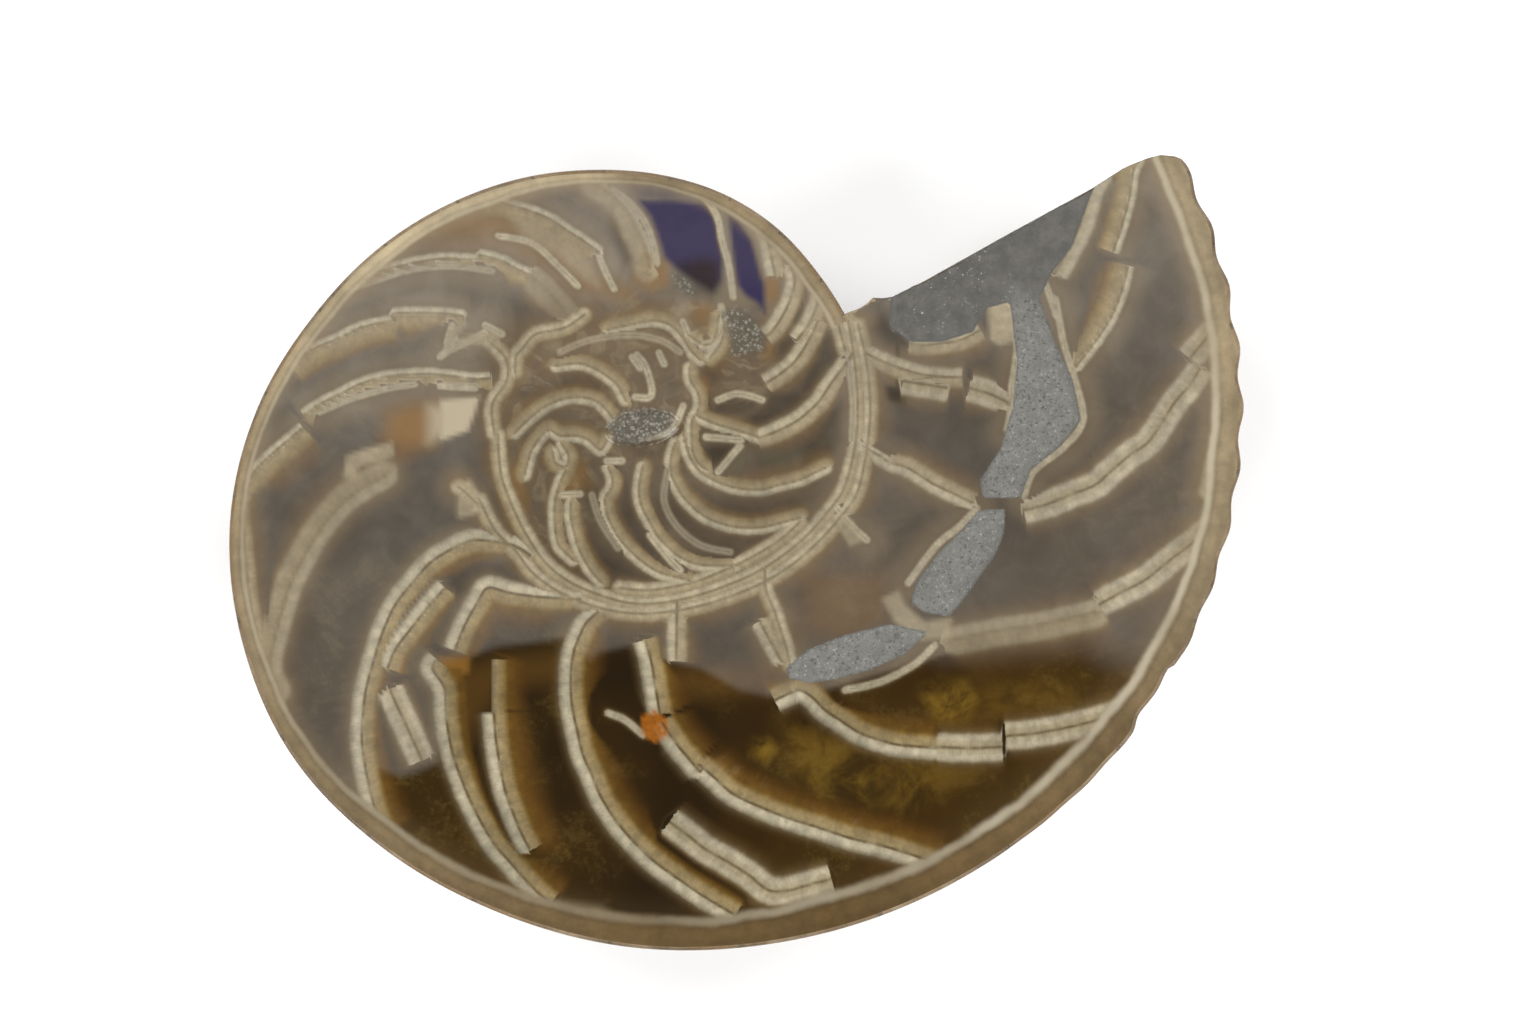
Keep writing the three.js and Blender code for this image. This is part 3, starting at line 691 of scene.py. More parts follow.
def patch_fields(sheet):
    """For each place how much of every kind of patch is there."""
    found = {kind: np.zeros(len(sheet)) for kind in KINDS}
    for kind, soft, strength, outline in PATCHES:
        ring = np.array(outline)
        near = np.flatnonzero(np.all((sheet > ring.min(0) - soft) & (sheet < ring.max(0) + soft), 1))
        inside = patch_distance(sheet[near], outline)
        amount = strength * smooth(-soft, soft, inside)
        found[kind][near] = np.maximum(found[kind][near], amount)
    return found


def sediment_inside(sheet):
    """Distance inside the grey sediment, in tenths of a millimetre, negative outside it."""
    inside = np.full(len(sheet), -float(FAR))
    for kind, _soft, _strength, outline in PATCHES:
        if kind == "sediment":
            inside = np.maximum(inside, patch_distance(sheet, outline))
    return inside


def vug_bowl(xy):
    """The bowl of the crystal hollow, from 0 at its rim to 1 in its middle."""
    turn = math.radians(VUG_TURN)
    offset = xy - np.array(VUG_PLACE)
    long = (offset[:, 0] * math.cos(turn) + offset[:, 1] * math.sin(turn)) / (VUG_LENGTH / 2)
    wide = (offset[:, 1] * math.cos(turn) - offset[:, 0] * math.sin(turn)) / (VUG_WIDTH / 2)
    return np.sqrt(np.clip(1 - long ** 2 - wide ** 2, 0, 1))


def settle_face(bm):
    """Lowers the sediment, the small pits and the crystal hollow under the polish, with their grain."""
    flat = [vert for vert in bm.verts if on_face(vert)]
    xy = np.array([(vert.co.x, vert.co.y) for vert in flat])
    sheet = sheet_points(xy)
    pits = np.min([np.linalg.norm(sheet - np.array(pit), axis=1) for pit in PITS], axis=0)
    for vert, inside, pit, hollow in zip(flat, sediment_inside(sheet), pits, vug_bowl(xy)):
        at = Vector((vert.co.x, vert.co.y, 0))
        grain = noise.fractal(at * SEDIMENT_GRAIN, 0.7, 2, 4)
        depth = SEDIMENT_RECESS * float(smooth(-1, 2, inside)) * (0.8 + 0.35 * grain)
        depth += PIT_DEPTH * float(smooth(PIT_RADIUS, 0, pit))
        depth += VUG_DEPTH * hollow * (0.7 + 0.3 * noise.fractal(at * VUG_GRAIN, 0.7, 2, 3))
        vert.co.z -= max(0, depth)


def build_mesh(columns, wall_rings, spacing, fine_box):
    """The whole half as one closed mesh: flank, aperture wall and cut face."""
    bm = bmesh.new()
    spin_outside(bm, columns)
    flank = set(bm.faces)
    build_aperture_wall(bm, columns, wall_rings)
    wall = set(bm.faces) - flank
    for face in flank:
        face.material_index = 1
    for face in wall:
        face.material_index = 2
    bmesh.ops.remove_doubles(bm, verts=bm.verts, dist=TOUCHING / 10)
    build_face(bm, spacing, fine_box)
    for face in bm.faces:
        if all(on_face(vert) for vert in face.verts):
            face.material_index = 0
    settle_face(bm)
    bmesh.ops.recalc_face_normals(bm, faces=bm.faces)
    return bm


def add_colour_layer(mesh, name, channels):
    """Keeps up to four fields of numbers on the mesh under one name."""
    layer = mesh.attributes.new(name, "FLOAT_COLOR", "POINT")
    values = np.zeros((len(mesh.vertices), 4), np.float32)
    for i, channel in enumerate(channels):
        values[:, i] = channel
    layer.data.foreach_set("color", values.ravel())


def painted_reflection_strength(sheet, from_centre):
    """How strong the painted reflection of the overhead light is wherever a patch of it lies."""
    left = mix(*LEFT_REFLECTION, smooth(*LEFT_REFLECTION_SPAN, sheet[:, 1]))
    right = mix(*RIGHT_REFLECTION, smooth(*RIGHT_REFLECTION_SPAN, sheet[:, 1]))
    inner = smooth(*INNER_WHORL, from_centre) * smooth(*INNER_TOP, sheet[:, 1])
    return mix(left, right, smooth(*REFLECTION_SIDES, sheet[:, 0])) * (1 - INNER_REFLECTION_LOSS * inner)


def angle_on_whorl(offset, radius):
    """Degrees about the spiral centre, from the young end of the whorl to its last outline."""
    angle = np.degrees(np.arctan2(offset[:, 1], offset[:, 0]))
    outer_end = (angle < APERTURE_ANGLE + 1) & (radius > whorl_radius(APERTURE_ANGLE) + YOUNG_END_MARGIN)
    return np.where((angle < APERTURE_ANGLE) | outer_end, angle + 360, angle)


def measure_broken_wall(mesh, points, depth):
    """On the broken wall, sets the depth to the distance from the shell's edge, in shell thicknesses."""
    face, flank, broken = set(), set(), set()
    groups = (face, flank, broken)
    for polygon in mesh.polygons:
        groups[polygon.material_index].update(polygon.vertices)
    shell_edge = points[sorted(flank & broken)]
    for row in broken - face - flank:
        depth[row] = np.linalg.norm(shell_edge - points[row], axis=1).min() / BROKEN_SHELL


def mark_mesh(mesh):
    """Writes what the materials read: the lines, the patches, and the places on the shell."""
    points = np.zeros(len(mesh.vertices) * 3, np.float32)
    mesh.vertices.foreach_get("co", points)
    points = points.reshape(-1, 3).astype(float) / MM
    sheet = sheet_points(points)
    offset = points[:, :2] - np.array(SPIRAL_CENTRE)
    radius = np.linalg.norm(offset, axis=1)
    signed, plain, looks = line_fields(sheet)
    found = patch_fields(sheet)
    # The strength of the painted reflection over the face
    found["painted_reflection"] *= painted_reflection_strength(sheet, radius)
    add_colour_layer(mesh, "line_place", (signed, plain, looks["width"], looks["glow"]))
    # edge is the strength of the painted highlight along a line
    add_colour_layer(mesh, "line_look", (looks["warm"], looks["edge"], looks["line"], looks["along"]))
    add_colour_layer(mesh, "patch_stone", [found[k] for k in ("sediment", "sandy", "cream", "tan")])
    add_colour_layer(mesh, "patch_glass", [found[k] for k in ("violet", "milk", "amber", "rust")])
    # The last field of patch_shade is the painted reflection of the overhead light
    add_colour_layer(mesh, "patch_shade", [found[k] for k in ("dark", "olive", "yellow", "painted_reflection")])
    angle = angle_on_whorl(offset, radius)
    steps = np.arange(APERTURE_ANGLE, APERTURE_ANGLE + 360.5, 0.5)
    rim_here = np.interp(angle, steps, [whorl_radius(step) for step in steps.tolist()])
    turns, *wall_columns = zip(*WALL)
    thickness, tone, rim_line = (np.interp(angle, turns, column) for column in wall_columns)
    depth = (rim_here - radius) * 10 / thickness
    measure_broken_wall(mesh, points, depth)
    add_colour_layer(mesh, "shell_place", (depth, found["grit"], radius / rim_here, angle / 360))
    add_colour_layer(mesh, "wall_look", (tone, rim_line, looks["past"], found["glints"]))


def mesh_corners(mesh):
    """For every corner of the mesh: its point in millimetres, its polygon and that one's material."""
    points = np.zeros(len(mesh.vertices) * 3)
    mesh.vertices.foreach_get("co", points)
    corner_vertex = np.zeros(len(mesh.loops), int)
    mesh.loops.foreach_get("vertex_index", corner_vertex)
    totals = np.zeros(len(mesh.polygons), int)
    mesh.polygons.foreach_get("loop_total", totals)
    kinds = np.zeros(len(mesh.polygons), int)
    mesh.polygons.foreach_get("material_index", kinds)
    polygon = np.repeat(np.arange(len(totals)), totals)
    return points.reshape(-1, 3)[corner_vertex] / MM, polygon, kinds[polygon]


def unwrap(mesh):
    """One UV map: the face fills most of it, the flank is unrolled above it, the wall goes in a corner."""
    layer = mesh.uv_layers.new(name="OFBake")
    corners, polygon, kind = mesh_corners(mesh)
    offset = corners[:, :2] - np.array(SPIRAL_CENTRE)
    radius = np.linalg.norm(offset, axis=1)
    depth = FACE_HEIGHT - corners[:, 2]
    angle = (np.degrees(np.arctan2(offset[:, 1], offset[:, 0])) - APERTURE_ANGLE + 0.01) % 360
    highest = np.zeros(len(mesh.polygons))
    np.maximum.at(highest, polygon, angle)
    angle += np.where((highest[polygon] > 270) & (angle < 90), 360, 0)
    angle = np.where(radius < 0.01, highest[polygon], angle)
    steps = np.arange(0, 361)
    rim = np.interp(angle, steps, [rim_radius(APERTURE_ANGLE + step) for step in steps.tolist()])
    face_uv = UV_MARGIN + UV_FACE_SHARE * (corners[:, :2] - np.array(UV_FACE_CORNER)) / UV_FACE_SPAN
    inward = np.clip((depth + rim - radius) / UV_FLANK_SPAN, 0, 1)
    flank_uv = np.stack([UV_MARGIN + angle / UV_TURN, UV_FLANK_LOW + UV_FLANK_HEIGHT * inward], 1)
    wall_uv = np.stack([UV_MARGIN + radius / UV_WALL_SPAN, UV_WALL_LOW + corners[:, 2] / UV_WALL_SPAN], 1)
    uv = np.where(kind[:, None] == 0, face_uv, np.where(kind[:, None] == 1, flank_uv, wall_uv))
    layer.data.foreach_set("uv", uv.astype(np.float32).ravel())


class Wiring:
    """Adds shader nodes to one tree and joins them."""

    def __init__(self, tree):
        self.tree = tree

    def node(self, kind, inputs=(), **settings):
        made = self.tree.nodes.new(kind)
        for name, value in settings.items():
            setattr(made, name, value)
        for key, value in dict(inputs).items():
            self.put(made.inputs[key], value)
        return made

    def put(self, socket, value):
        if isinstance(value, bpy.types.NodeSocket):
            self.tree.links.new(value, socket)
        else:
            socket.default_value = value

    def math(self, operation, first, second=0.0):
        return self.node("ShaderNodeMath", {0: first, 1: second}, operation=operation).outputs[0]

    def times(self, *values):
        result = values[0]
        for value in values[1:]:
            result = self.math("MULTIPLY", result, value)
        return result

    def plus(self, *values):
        result = values[0]
        for value in values[1:]:
            result = self.math("ADD", result, value)
        return result

    def less(self, value, share=1.0):
        """What is left of one after a share of the value is taken."""
        return self.plus(1.0, self.times(value, -share))

    def step(self, value, low, high, start=0.0, end=1.0):
        """Goes smoothly from start to end while the value goes from low to high."""
        made = self.node("ShaderNodeMapRange", {"Value": value, "From Min": low, "From Max": high,
                                                "To Min": start, "To Max": end},
                         interpolation_type="SMOOTHSTEP")
        return made.outputs[0]

    def blend(self, amount, first, second, how="MIX"):
        made = self.node("ShaderNodeMix", data_type="RGBA", blend_type=how)
        made.clamp_factor = True
        self.put(made.inputs[0], amount)
        self.put(made.inputs[6], first)
        self.put(made.inputs[7], second)
        return made.outputs[2]

    def grey(self, value):
        return self.node("ShaderNodeCombineColor", {0: value, 1: value, 2: value}).outputs[0]

    def point(self, x, y):
        return self.node("ShaderNodeCombineXYZ", {0: x, 1: y}).outputs[0]

    def place(self):
        return self.node("ShaderNodeTexCoord").outputs["Object"]

    def noise(self, where, scale, detail=4.0, roughness=0.6, distortion=0.0):
        made = self.node("ShaderNodeTexNoise", {"Vector": where, "Scale": scale, "Detail": detail,
                                                "Roughness": roughness, "Distortion": distortion})
        return made.outputs["Fac"]

    def sway(self, where, scale, detail, size):
        """A soft unevenness to both sides of nought."""
        return self.times(self.plus(self.noise(where, scale, detail), -0.5), size)

    def fine_grain(self, group, where):
        """Places the fine grain that all the materials share."""
        made = self.node("ShaderNodeGroup", node_tree=group)
        self.put(made.inputs["Place"], where)
        self.put(made.inputs["Scale"], Fineness.speck)
        return made.outputs["Grain"]

    def fade(self, value, stops):
        """A colour and a strength that follow stops of distance, strength and colour."""
        made = self.node("ShaderNodeValToRGB", {"Fac": value})
        elements = made.color_ramp.elements
        while len(elements) < len(stops):
            elements.new(1.0)
        for element, (distance, strength, rgb) in zip(elements, stops):
            element.position = distance / FADE_REACH
            element.color = (*display(*rgb)[:3], strength)
        return made.outputs["Color"], made.outputs["Alpha"]

    def layer(self, name):
        """The four fields kept on the mesh under a name."""
        made = self.node("ShaderNodeAttribute", attribute_name=name)
        parts = self.node("ShaderNodeSeparateColor", {0: made.outputs["Color"]})
        return (*parts.outputs[:3], made.outputs["Alpha"])

    def dress(self, skin, look, rough, height, strength, distance):
        """Gives a material its colour, its roughness and a bump of the height."""
        bump = self.node("ShaderNodeBump", {"Strength": strength, "Distance": distance, "Height": height})
        self.put(skin.inputs["Base Color"], look)
        self.put(skin.inputs["Roughness"], rough)
        self.put(skin.inputs["Normal"], bump.outputs[0])


def new_material(name):
    material = bpy.data.materials.new(name)
    material.use_nodes = True
    tree = material.node_tree
    return material, Wiring(tree), tree.nodes["Principled BSDF"]


class Fineness:
    """How fine the patterns in the stone are, from broad tints to single grains, and how fine the
    unevenness of the painted reflection is.
    """
    tint, painted_reflection, broad, patch, sway, wall, swirl = 26, 45, 50, 90, 110, 120, 150
    cloud, marble, sparks, seam, mottle, wall_grain = 210, 330, 420, 500, 650, 700
    streaks, ragged, wobble, speck, pale_grains = 800, 900, 1000, 1500, 2100
    crystals, grain, dust = 2400, 3200, 5200
    flank_broad, flank_patchy, growth, broken = 55, 190, 2.6, 300


def make_fine_grain():
    """The fine grain of the stone, a node group that every material of the fossil places."""
    group = bpy.data.node_groups.new("fine_grain", "ShaderNodeTree")
    group.interface.new_socket("Place", in_out="INPUT", socket_type="NodeSocketVector")
    group.interface.new_socket("Scale", in_out="INPUT", socket_type="NodeSocketFloat")
    group.interface.new_socket("Grain", in_out="OUTPUT", socket_type="NodeSocketFloat")
    w = Wiring(group)
    given = w.node("NodeGroupInput").outputs
    w.node("NodeGroupOutput", {"Grain": w.noise(given["Place"], given["Scale"], 4, 0.7)})
    return group


class FaceMarks:
    """What the mesh keeps for its polished face, and the patterns that several parts of it share."""

    def __init__(self, w, grain):
        self.place = w.place()
        self.signed, self.plain, self.width, self.glow = w.layer("line_place")
        # edge is the strength of the painted highlight along a line
        self.warm, self.edge, self.line, self.along = w.layer("line_look")
        self.sediment, self.sandy, self.cream, self.tan = w.layer("patch_stone")
        self.violet, self.milk, self.amber, self.rust = w.layer("patch_glass")
        # The fourth field here is the painted reflection of the overhead light
        self.dark, self.olive, self.yellow, self.painted_reflection = w.layer("patch_shade")
        self.depth, self.grit, _share, _angle = w.layer("shell_place")
        self.tone, self.rim_line, self.past, self.glints = w.layer("wall_look")
        self.broad = w.noise(self.place, Fineness.broad, 3)
        self.cloud = w.noise(self.place, Fineness.cloud, 6, 0.62, distortion=0.5)
        self.speck = w.fine_grain(grain, self.place)
        self.dust = w.noise(self.place, Fineness.dust, 3, 0.7)
        cells = w.node("ShaderNodeTexVoronoi", {"Vector": self.place, "Scale": Fineness.crystals})
        self.crystals = cells.outputs["Distance"]


def clear_chambers(w, m, colours):
    """The clear chambers: dark to brown glass, small clouds, coloured crystals and marbled places."""
    brown = w.times(w.step(w.noise(m.place, Fineness.tint, 3), 0.36, 0.62),
                    w.step(m.cloud, 0.2, 0.6, 0.6, 1.0))
    look = w.blend(brown, colours["glass_dark"], colours["glass_brown"])
    look = w.blend(w.times(w.step(m.broad, 0.4, 0.7), 0.5), look, colours["glass_olive"])
    moss = w.times(w.step(w.times(m.cloud, w.plus(0.55, m.speck)), 0.52, 0.72),
                   w.step(m.broad, 0.42, 0.6), 0.42)
    look = w.blend(moss, look, colours["moss"])
    look = w.blend(w.times(m.olive, 0.7), look, colours["olive"])
    look = w.blend(w.times(m.yellow, w.step(m.cloud, 0.35, 0.62)), look, colours["yellow"])
    # Under the painted reflection the glass is first set to its darkest
    look = w.blend(w.times(m.painted_reflection, 1.7), look, colours["glass_dark"])
    # Tan near the lines of shell, only where the painted reflection lies
    near_line = w.times(w.step(m.plain, 32, 8), w.step(m.painted_reflection, 0.05, 0.25, 0.0, 0.36), w.step(m.past, 8, 0))
    look = w.blend(near_line, look, colours["shell_tan"])
    look = w.blend(w.times(m.amber, w.step(m.broad, 0.2, 0.6, 0.7, 1.0)), look, colours["amber"])
    look = w.blend(m.violet, look, colours["violet"])
    look = w.blend(m.dark, look, colours["glass_dark"])
    marbled = w.times(m.tan, w.step(w.noise(m.place, Fineness.marble, 5, 0.65, distortion=1.0),
                                    0.32, 0.68, 0.25, 1.0))
    look = w.blend(marbled, look, colours["inner_brown"])
    swirl = w.noise(m.place, Fineness.swirl, 3, 0.5, distortion=1.6)
    wisps = w.times(w.step(w.math("ABSOLUTE", w.plus(swirl, -0.5)), 0.07, 0.01), marbled, 0.55)
    return w.blend(wisps, look, colours["shell_cream"])


def line_ends(w, m):
    """How much of a line of shell is left near its ends: ragged on the line, soft beside it."""
    ragged = w.sway(m.place, Fineness.ragged, 3, 3.0)
    sharp_cut = w.step(w.plus(m.past, ragged), 1.2, -0.4)
    soft_cut = w.step(m.past, 12.0, -8.0)
    beside = w.step(m.plain, 12.0, 20.0)
    return w.plus(w.times(sharp_cut, w.less(beside)), w.times(soft_cut, beside))


def shell_lines(w, m, cut, colours):
    """The lines of shell, whose pale and tan sides fade out from the middle: colour and strength."""
    wobble = w.sway(m.place, Fineness.wobble, 3, 2.4)
    apart = w.plus(m.plain, w.times(wobble, w.step(m.plain, 1.0, 6.0)))
    reach = w.times(w.math("DIVIDE", apart, m.width), FADE_WIDTH / FADE_REACH)
    pale_side, pale_amount = w.fade(reach, PALE_FADE)
    tan_side, tan_amount = w.fade(reach, TAN_FADE)
    shell = w.blend(m.warm, pale_side, tan_side)
    # A painted highlight along the band of a line, as light on a raised ridge
    painted_highlight = w.times(m.edge, w.step(reach, 0.11, 0.2), w.step(reach, 0.32, 0.24), 0.5)
    shell = w.blend(painted_highlight, shell, colours["shell_white"])
    amount = w.plus(w.times(pale_amount, w.less(m.warm)), w.times(tan_amount, m.warm))
    return shell, w.math("MINIMUM", w.times(amount, m.glow, cut), 1.0)


def line_streaks(w, m):
    """The uneven brightness of the shell: streaks, and the small bricks along each line."""
    streaks = w.step(w.noise(m.place, Fineness.streaks, 5, 0.7), 0.25, 0.75, 0.82, 1.16)
    patches = w.step(w.noise(m.place, Fineness.patch, 3), 0.32, 0.62, 0.8, 1.06)
    bricks = w.node("ShaderNodeTexVoronoi", {"W": w.times(m.along, 0.075)}, voronoi_dimensions="1D",
                    feature="DISTANCE_TO_EDGE").outputs["Distance"]
    brick_tone = w.noise(w.point(w.times(m.along, 0.09), w.times(m.signed, 0.04)), 1.0, 2)
    return w.times(streaks, w.step(m.speck, 0.3, 0.7, 0.93, 1.07), w.step(bricks, 0.0, 0.06, 0.8, 1.0),
                   patches, w.step(brick_tone, 0.3, 0.7, 0.84, 1.14))


def dark_seam(w, m, cut):
    """The thin broken seam in the middle of a line of shell."""
    gaps = w.step(w.noise(m.place, Fineness.seam, 2), 0.3, 0.6, 0.2, 1.0)
    thin = w.times(w.step(w.math("ABSOLUTE", m.signed), 2.2, 0.4), w.step(m.plain, 3.8, 2.4))
    return w.times(m.line, thin, gaps, cut, 0.85)


def outer_wall(w, m, colours):
    """The shell's own wall round the face: its colour with a painted highlight along the very rim, and how
    many walls in from the rim a place is.
    """
    depth = w.plus(m.depth, w.times(w.sway(m.place, Fineness.sway, 4, 0.5), w.step(m.depth, 0.0, 0.4)))
    # Brighter at the very rim, a painted highlight; further in, the wall's own lighter and darker bands
    shade = w.plus(w.step(depth, 0.0, 0.16, 1.15, 0.88), w.step(depth, 0.25, 0.5, 0.0, 0.12),
                   w.step(depth, 0.6, 0.84, 0.0, -0.2))
    shade = w.times(shade, w.step(w.noise(m.place, Fineness.wall, 5, 0.65), 0.3, 0.7, 0.8, 1.15),
                    w.step(w.noise(m.place, Fineness.wall_grain, 4, 0.7), 0.3, 0.7, 0.9, 1.1))
    wall = w.blend(1.0, w.blend(m.tone, colours["wall_brown"], colours["wall_cream"]), w.grey(shade),
                   "MULTIPLY")
    bright_line = w.times(w.step(depth, 0.74, 0.97), w.step(depth, 1.3, 1.05), m.rim_line, 0.8,
                          w.step(w.noise(m.place, Fineness.patch, 3), 0.3, 0.6, 0.55, 1.0))
    return w.blend(bright_line, wall, colours["shell_white"]), depth


def painted_reflection_over(w, m, amount):
    """How much of the painted reflection of the overhead light lies over a place: less over violet, dark,
    milk, shell and amber.
    """
    uneven = w.times(w.step(w.noise(m.place, Fineness.painted_reflection, 4), 0.3, 0.7, 0.82, 1.16),
                     w.step(m.cloud, 0.3, 0.7, 0.84, 1.14))
    return w.times(m.painted_reflection, uneven, w.less(m.violet, 0.8), w.less(m.dark, 0.5), w.less(m.milk, 0.6),
                   w.less(amount, 0.35), w.less(m.amber, 0.45))


def grey_sediment(w, m, colours):
    """The grey sediment, paler and more grainy in the siphuncle, with painted shade along its recessed
    edge: its colour and its painted glints.
    """
    grain = w.noise(m.place, Fineness.grain, 3, 0.7)
    mottle = w.noise(m.place, Fineness.mottle, 5, 0.7)
    stone = w.blend(w.step(mottle, 0.3, 0.7), colours["silt_dark"], colours["silt"])
    pale = w.blend(w.step(mottle, 0.3, 0.7, 0.35, 1.0), colours["silt"], colours["silt_pale"])
    stone = w.blend(m.sandy, stone, pale)
    pepper = w.times(w.step(grain, 0.47, 0.32), w.plus(0.3, w.times(m.sandy, 0.5)))
    stone = w.blend(pepper, stone, colours["pepper"])
    # Painted shade along the edge of the recessed sediment, in patches
    recess_edge_shade = w.times(w.step(m.sediment, 0.95, 0.6), w.step(mottle, 0.35, 0.6), 0.5)
    stone = w.blend(recess_edge_shade, stone, colours["pepper"])
    # Painted glints on the grains, more in the sandy parts and the glint patches
    spark = w.times(w.step(grain, 0.62, 0.7), w.step(w.noise(m.place, Fineness.sparks, 3), 0.42, 0.58))
    stone = w.blend(w.times(spark, w.plus(w.times(m.sandy, 0.7), m.glints)), stone, colours["spark"])
    light_grains = w.step(w.noise(m.place, Fineness.pale_grains, 4, 0.8), 0.56, 0.68)
    stone = w.blend(w.times(m.sandy, light_grains, 0.55), stone, colours["grain_light"])
    return stone, spark


def gritty_crystals(w, m, colours):
    """The small grey crystals of the hollow in the middle, with painted shade in the gaps between them and
    painted glints on them.
    """
    # Darker towards the gaps between the crystals: painted shade
    look = w.blend(w.step(w.plus(m.crystals, w.times(m.speck, 0.5)), 0.3, 0.85), colours["grit_pale"],
                   colours["grit_dark"])
    # Painted glints on the crystals
    return w.blend(w.times(w.step(m.dust, 0.6, 0.7), 0.8), look, colours["spark"])


def finish_polished(colours, grain):
    """Polished calcite: dark glassy chambers, pale lines of shell, grey sediment, cloudy places and a
    painted reflection of the overhead light over the upper chambers.
    """
    material, w, skin = new_material("polished_calcite")
    m = FaceMarks(w, grain)
    cut = line_ends(w, m)
    shell, amount = shell_lines(w, m, cut, colours)
    look = w.blend(amount, clear_chambers(w, m, colours), shell)
    look = w.blend(m.cream, look, colours["shell_cream"])
    streaked = w.blend(1.0, look, w.grey(line_streaks(w, m)), "MULTIPLY")
    look = w.blend(w.math("MAXIMUM", amount, m.cream), look, streaked)
    look = w.blend(w.times(m.milk, 0.9), look, colours["milk"])
    look = w.blend(w.times(m.rust, w.step(m.speck, 0.3, 0.6, 0.7, 1.0)), look, colours["rust"])
    seam = dark_seam(w, m, cut)
    look = w.blend(seam, look, colours["seam"])

    wall, depth = outer_wall(w, m, colours)
    beside_wall = w.times(w.step(depth, 2.2, 1.0), w.plus(0.02, w.times(m.tone, 0.7)))
    look = w.blend(beside_wall, look, colours["shell_tan"])
    # The painted reflection of the overhead light, laid over the upper chambers
    look = w.blend(painted_reflection_over(w, m, amount), look, colours["painted_reflection"])
    look = w.blend(w.times(w.step(depth, 1.3, 1.0), w.less(m.sediment)), look, wall)

    stone, spark = grey_sediment(w, m, colours)
    look = w.blend(w.step(m.sediment, 0.35, 0.65), look, stone)
    # Painted glints outside the sediment, in the glint patches
    look = w.blend(w.times(m.glints, spark, w.step(m.sediment, 0.5, 0.2)), look, colours["silt_pale"])
    look = w.blend(w.times(m.grit, 0.9), look, gritty_crystals(w, m, colours))

    rough = w.plus(w.step(m.sediment, 0.35, 0.65, 0.16, 0.45), w.times(m.grit, 0.3), w.times(amount, 0.06),
                   w.times(m.speck, 0.05))
    height = w.plus(w.times(seam, -0.5), w.times(amount, w.plus(m.speck, -0.5), 0.2),
                    w.times(w.step(m.sediment, 0.3, 0.7), w.plus(m.dust, m.speck), 0.8),
                    w.times(m.grit, m.crystals, 1.2))
    w.dress(skin, look, rough, height, 0.35, 0.0001)
    skin.inputs["Specular IOR Level"].default_value = 0.38
    return material


def finish_shell(colours, grain):
    """Worn tan shell of the flank, with growth lines, darker stains and faint lines of the chambers."""
    material, w, skin = new_material("outer_shell")
    place = w.place()
    _depth, _grit, share, angle = w.layer("shell_place")
    swept = w.plus(w.times(angle, 360.0), w.times(share, -14.0))
    broad = w.noise(place, Fineness.flank_broad, 5, 0.6)
    patchy = w.noise(place, Fineness.flank_patchy, 6, 0.65, distortion=0.4)
    speck = w.fine_grain(grain, place)
    growth = w.noise(w.point(swept, w.times(share, 6.0)), Fineness.growth, 4, 0.7)
    look = w.blend(w.step(patchy, 0.3, 0.7), colours["wall_brown"], colours["wall_tan"])
    look = w.blend(w.times(w.step(broad, 0.45, 0.65), 0.7), look, colours["shell_brown"])
    look = w.blend(w.times(w.step(growth, 0.5, 0.75), 0.5), look, colours["flank_dark"])
    look = w.blend(w.times(w.step(patchy, 0.56, 0.72), 0.7), look, colours["shell_cream"])
    worn = w.times(w.step(broad, 0.52, 0.6), w.step(speck, 0.3, 0.6), 0.5)
    look = w.blend(worn, look, colours["amber"])
    sutures = w.math("ABSOLUTE", w.math("SINE", w.times(w.plus(swept, w.times(broad, 6.0)), 0.21)))
    suture = w.times(w.step(sutures, 0.09, 0.02), w.step(share, 0.3, 0.5), 0.75)
    look = w.blend(suture, look, colours["seam"])
    height = w.plus(w.times(growth, 0.6), w.times(speck, 0.25), w.times(suture, -0.8), w.times(patchy, 0.6))
    w.dress(skin, look, w.step(patchy, 0.3, 0.7, 0.32, 0.55), height, 0.5, 0.0003)
    return material


def finish_broken_wall(colours, grain):
    """The broken wall of the aperture: grey sediment between two edges of shell."""
    material, w, skin = new_material("broken_wall")
    place = w.place()
    depth, _grit, _share, _angle = w.layer("shell_place")
    patchy = w.noise(place, Fineness.broken, 6, 0.7)
    speck = w.fine_grain(grain, place)
    look = w.blend(w.step(patchy, 0.35, 0.65), colours["silt_dark"], colours["silt"])
    stains = w.times(w.step(w.noise(place, Fineness.patch, 3), 0.5, 0.6), 0.7)
    look = w.blend(stains, look, colours["wall_brown"])
    ragged = w.plus(depth, w.times(w.plus(patchy, -0.5), 0.6))
    look = w.blend(w.step(ragged, 1.05, 0.9), look, colours["wall_tan"])
    inner_edge = w.times(w.step(ragged, 0.7, 0.8), w.step(ragged, 1.05, 0.95), 0.6)
    look = w.blend(inner_edge, look, colours["shell_cream"])
    # Painted glints on the broken wall
    look = w.blend(w.times(w.step(speck, 0.62, 0.7), 0.6), look, colours["spark"])
    height = w.plus(patchy, w.times(speck, 0.4))
    w.dress(skin, look, w.step(speck, 0.3, 0.7, 0.55, 0.85), height, 0.7, 0.0006)
    return material


def colour_setting(name, description, *rgb):
    return FloatVectorProperty(name=name, description=description, subtype="COLOR", size=4,
                               min=0, max=1, default=display(*rgb))


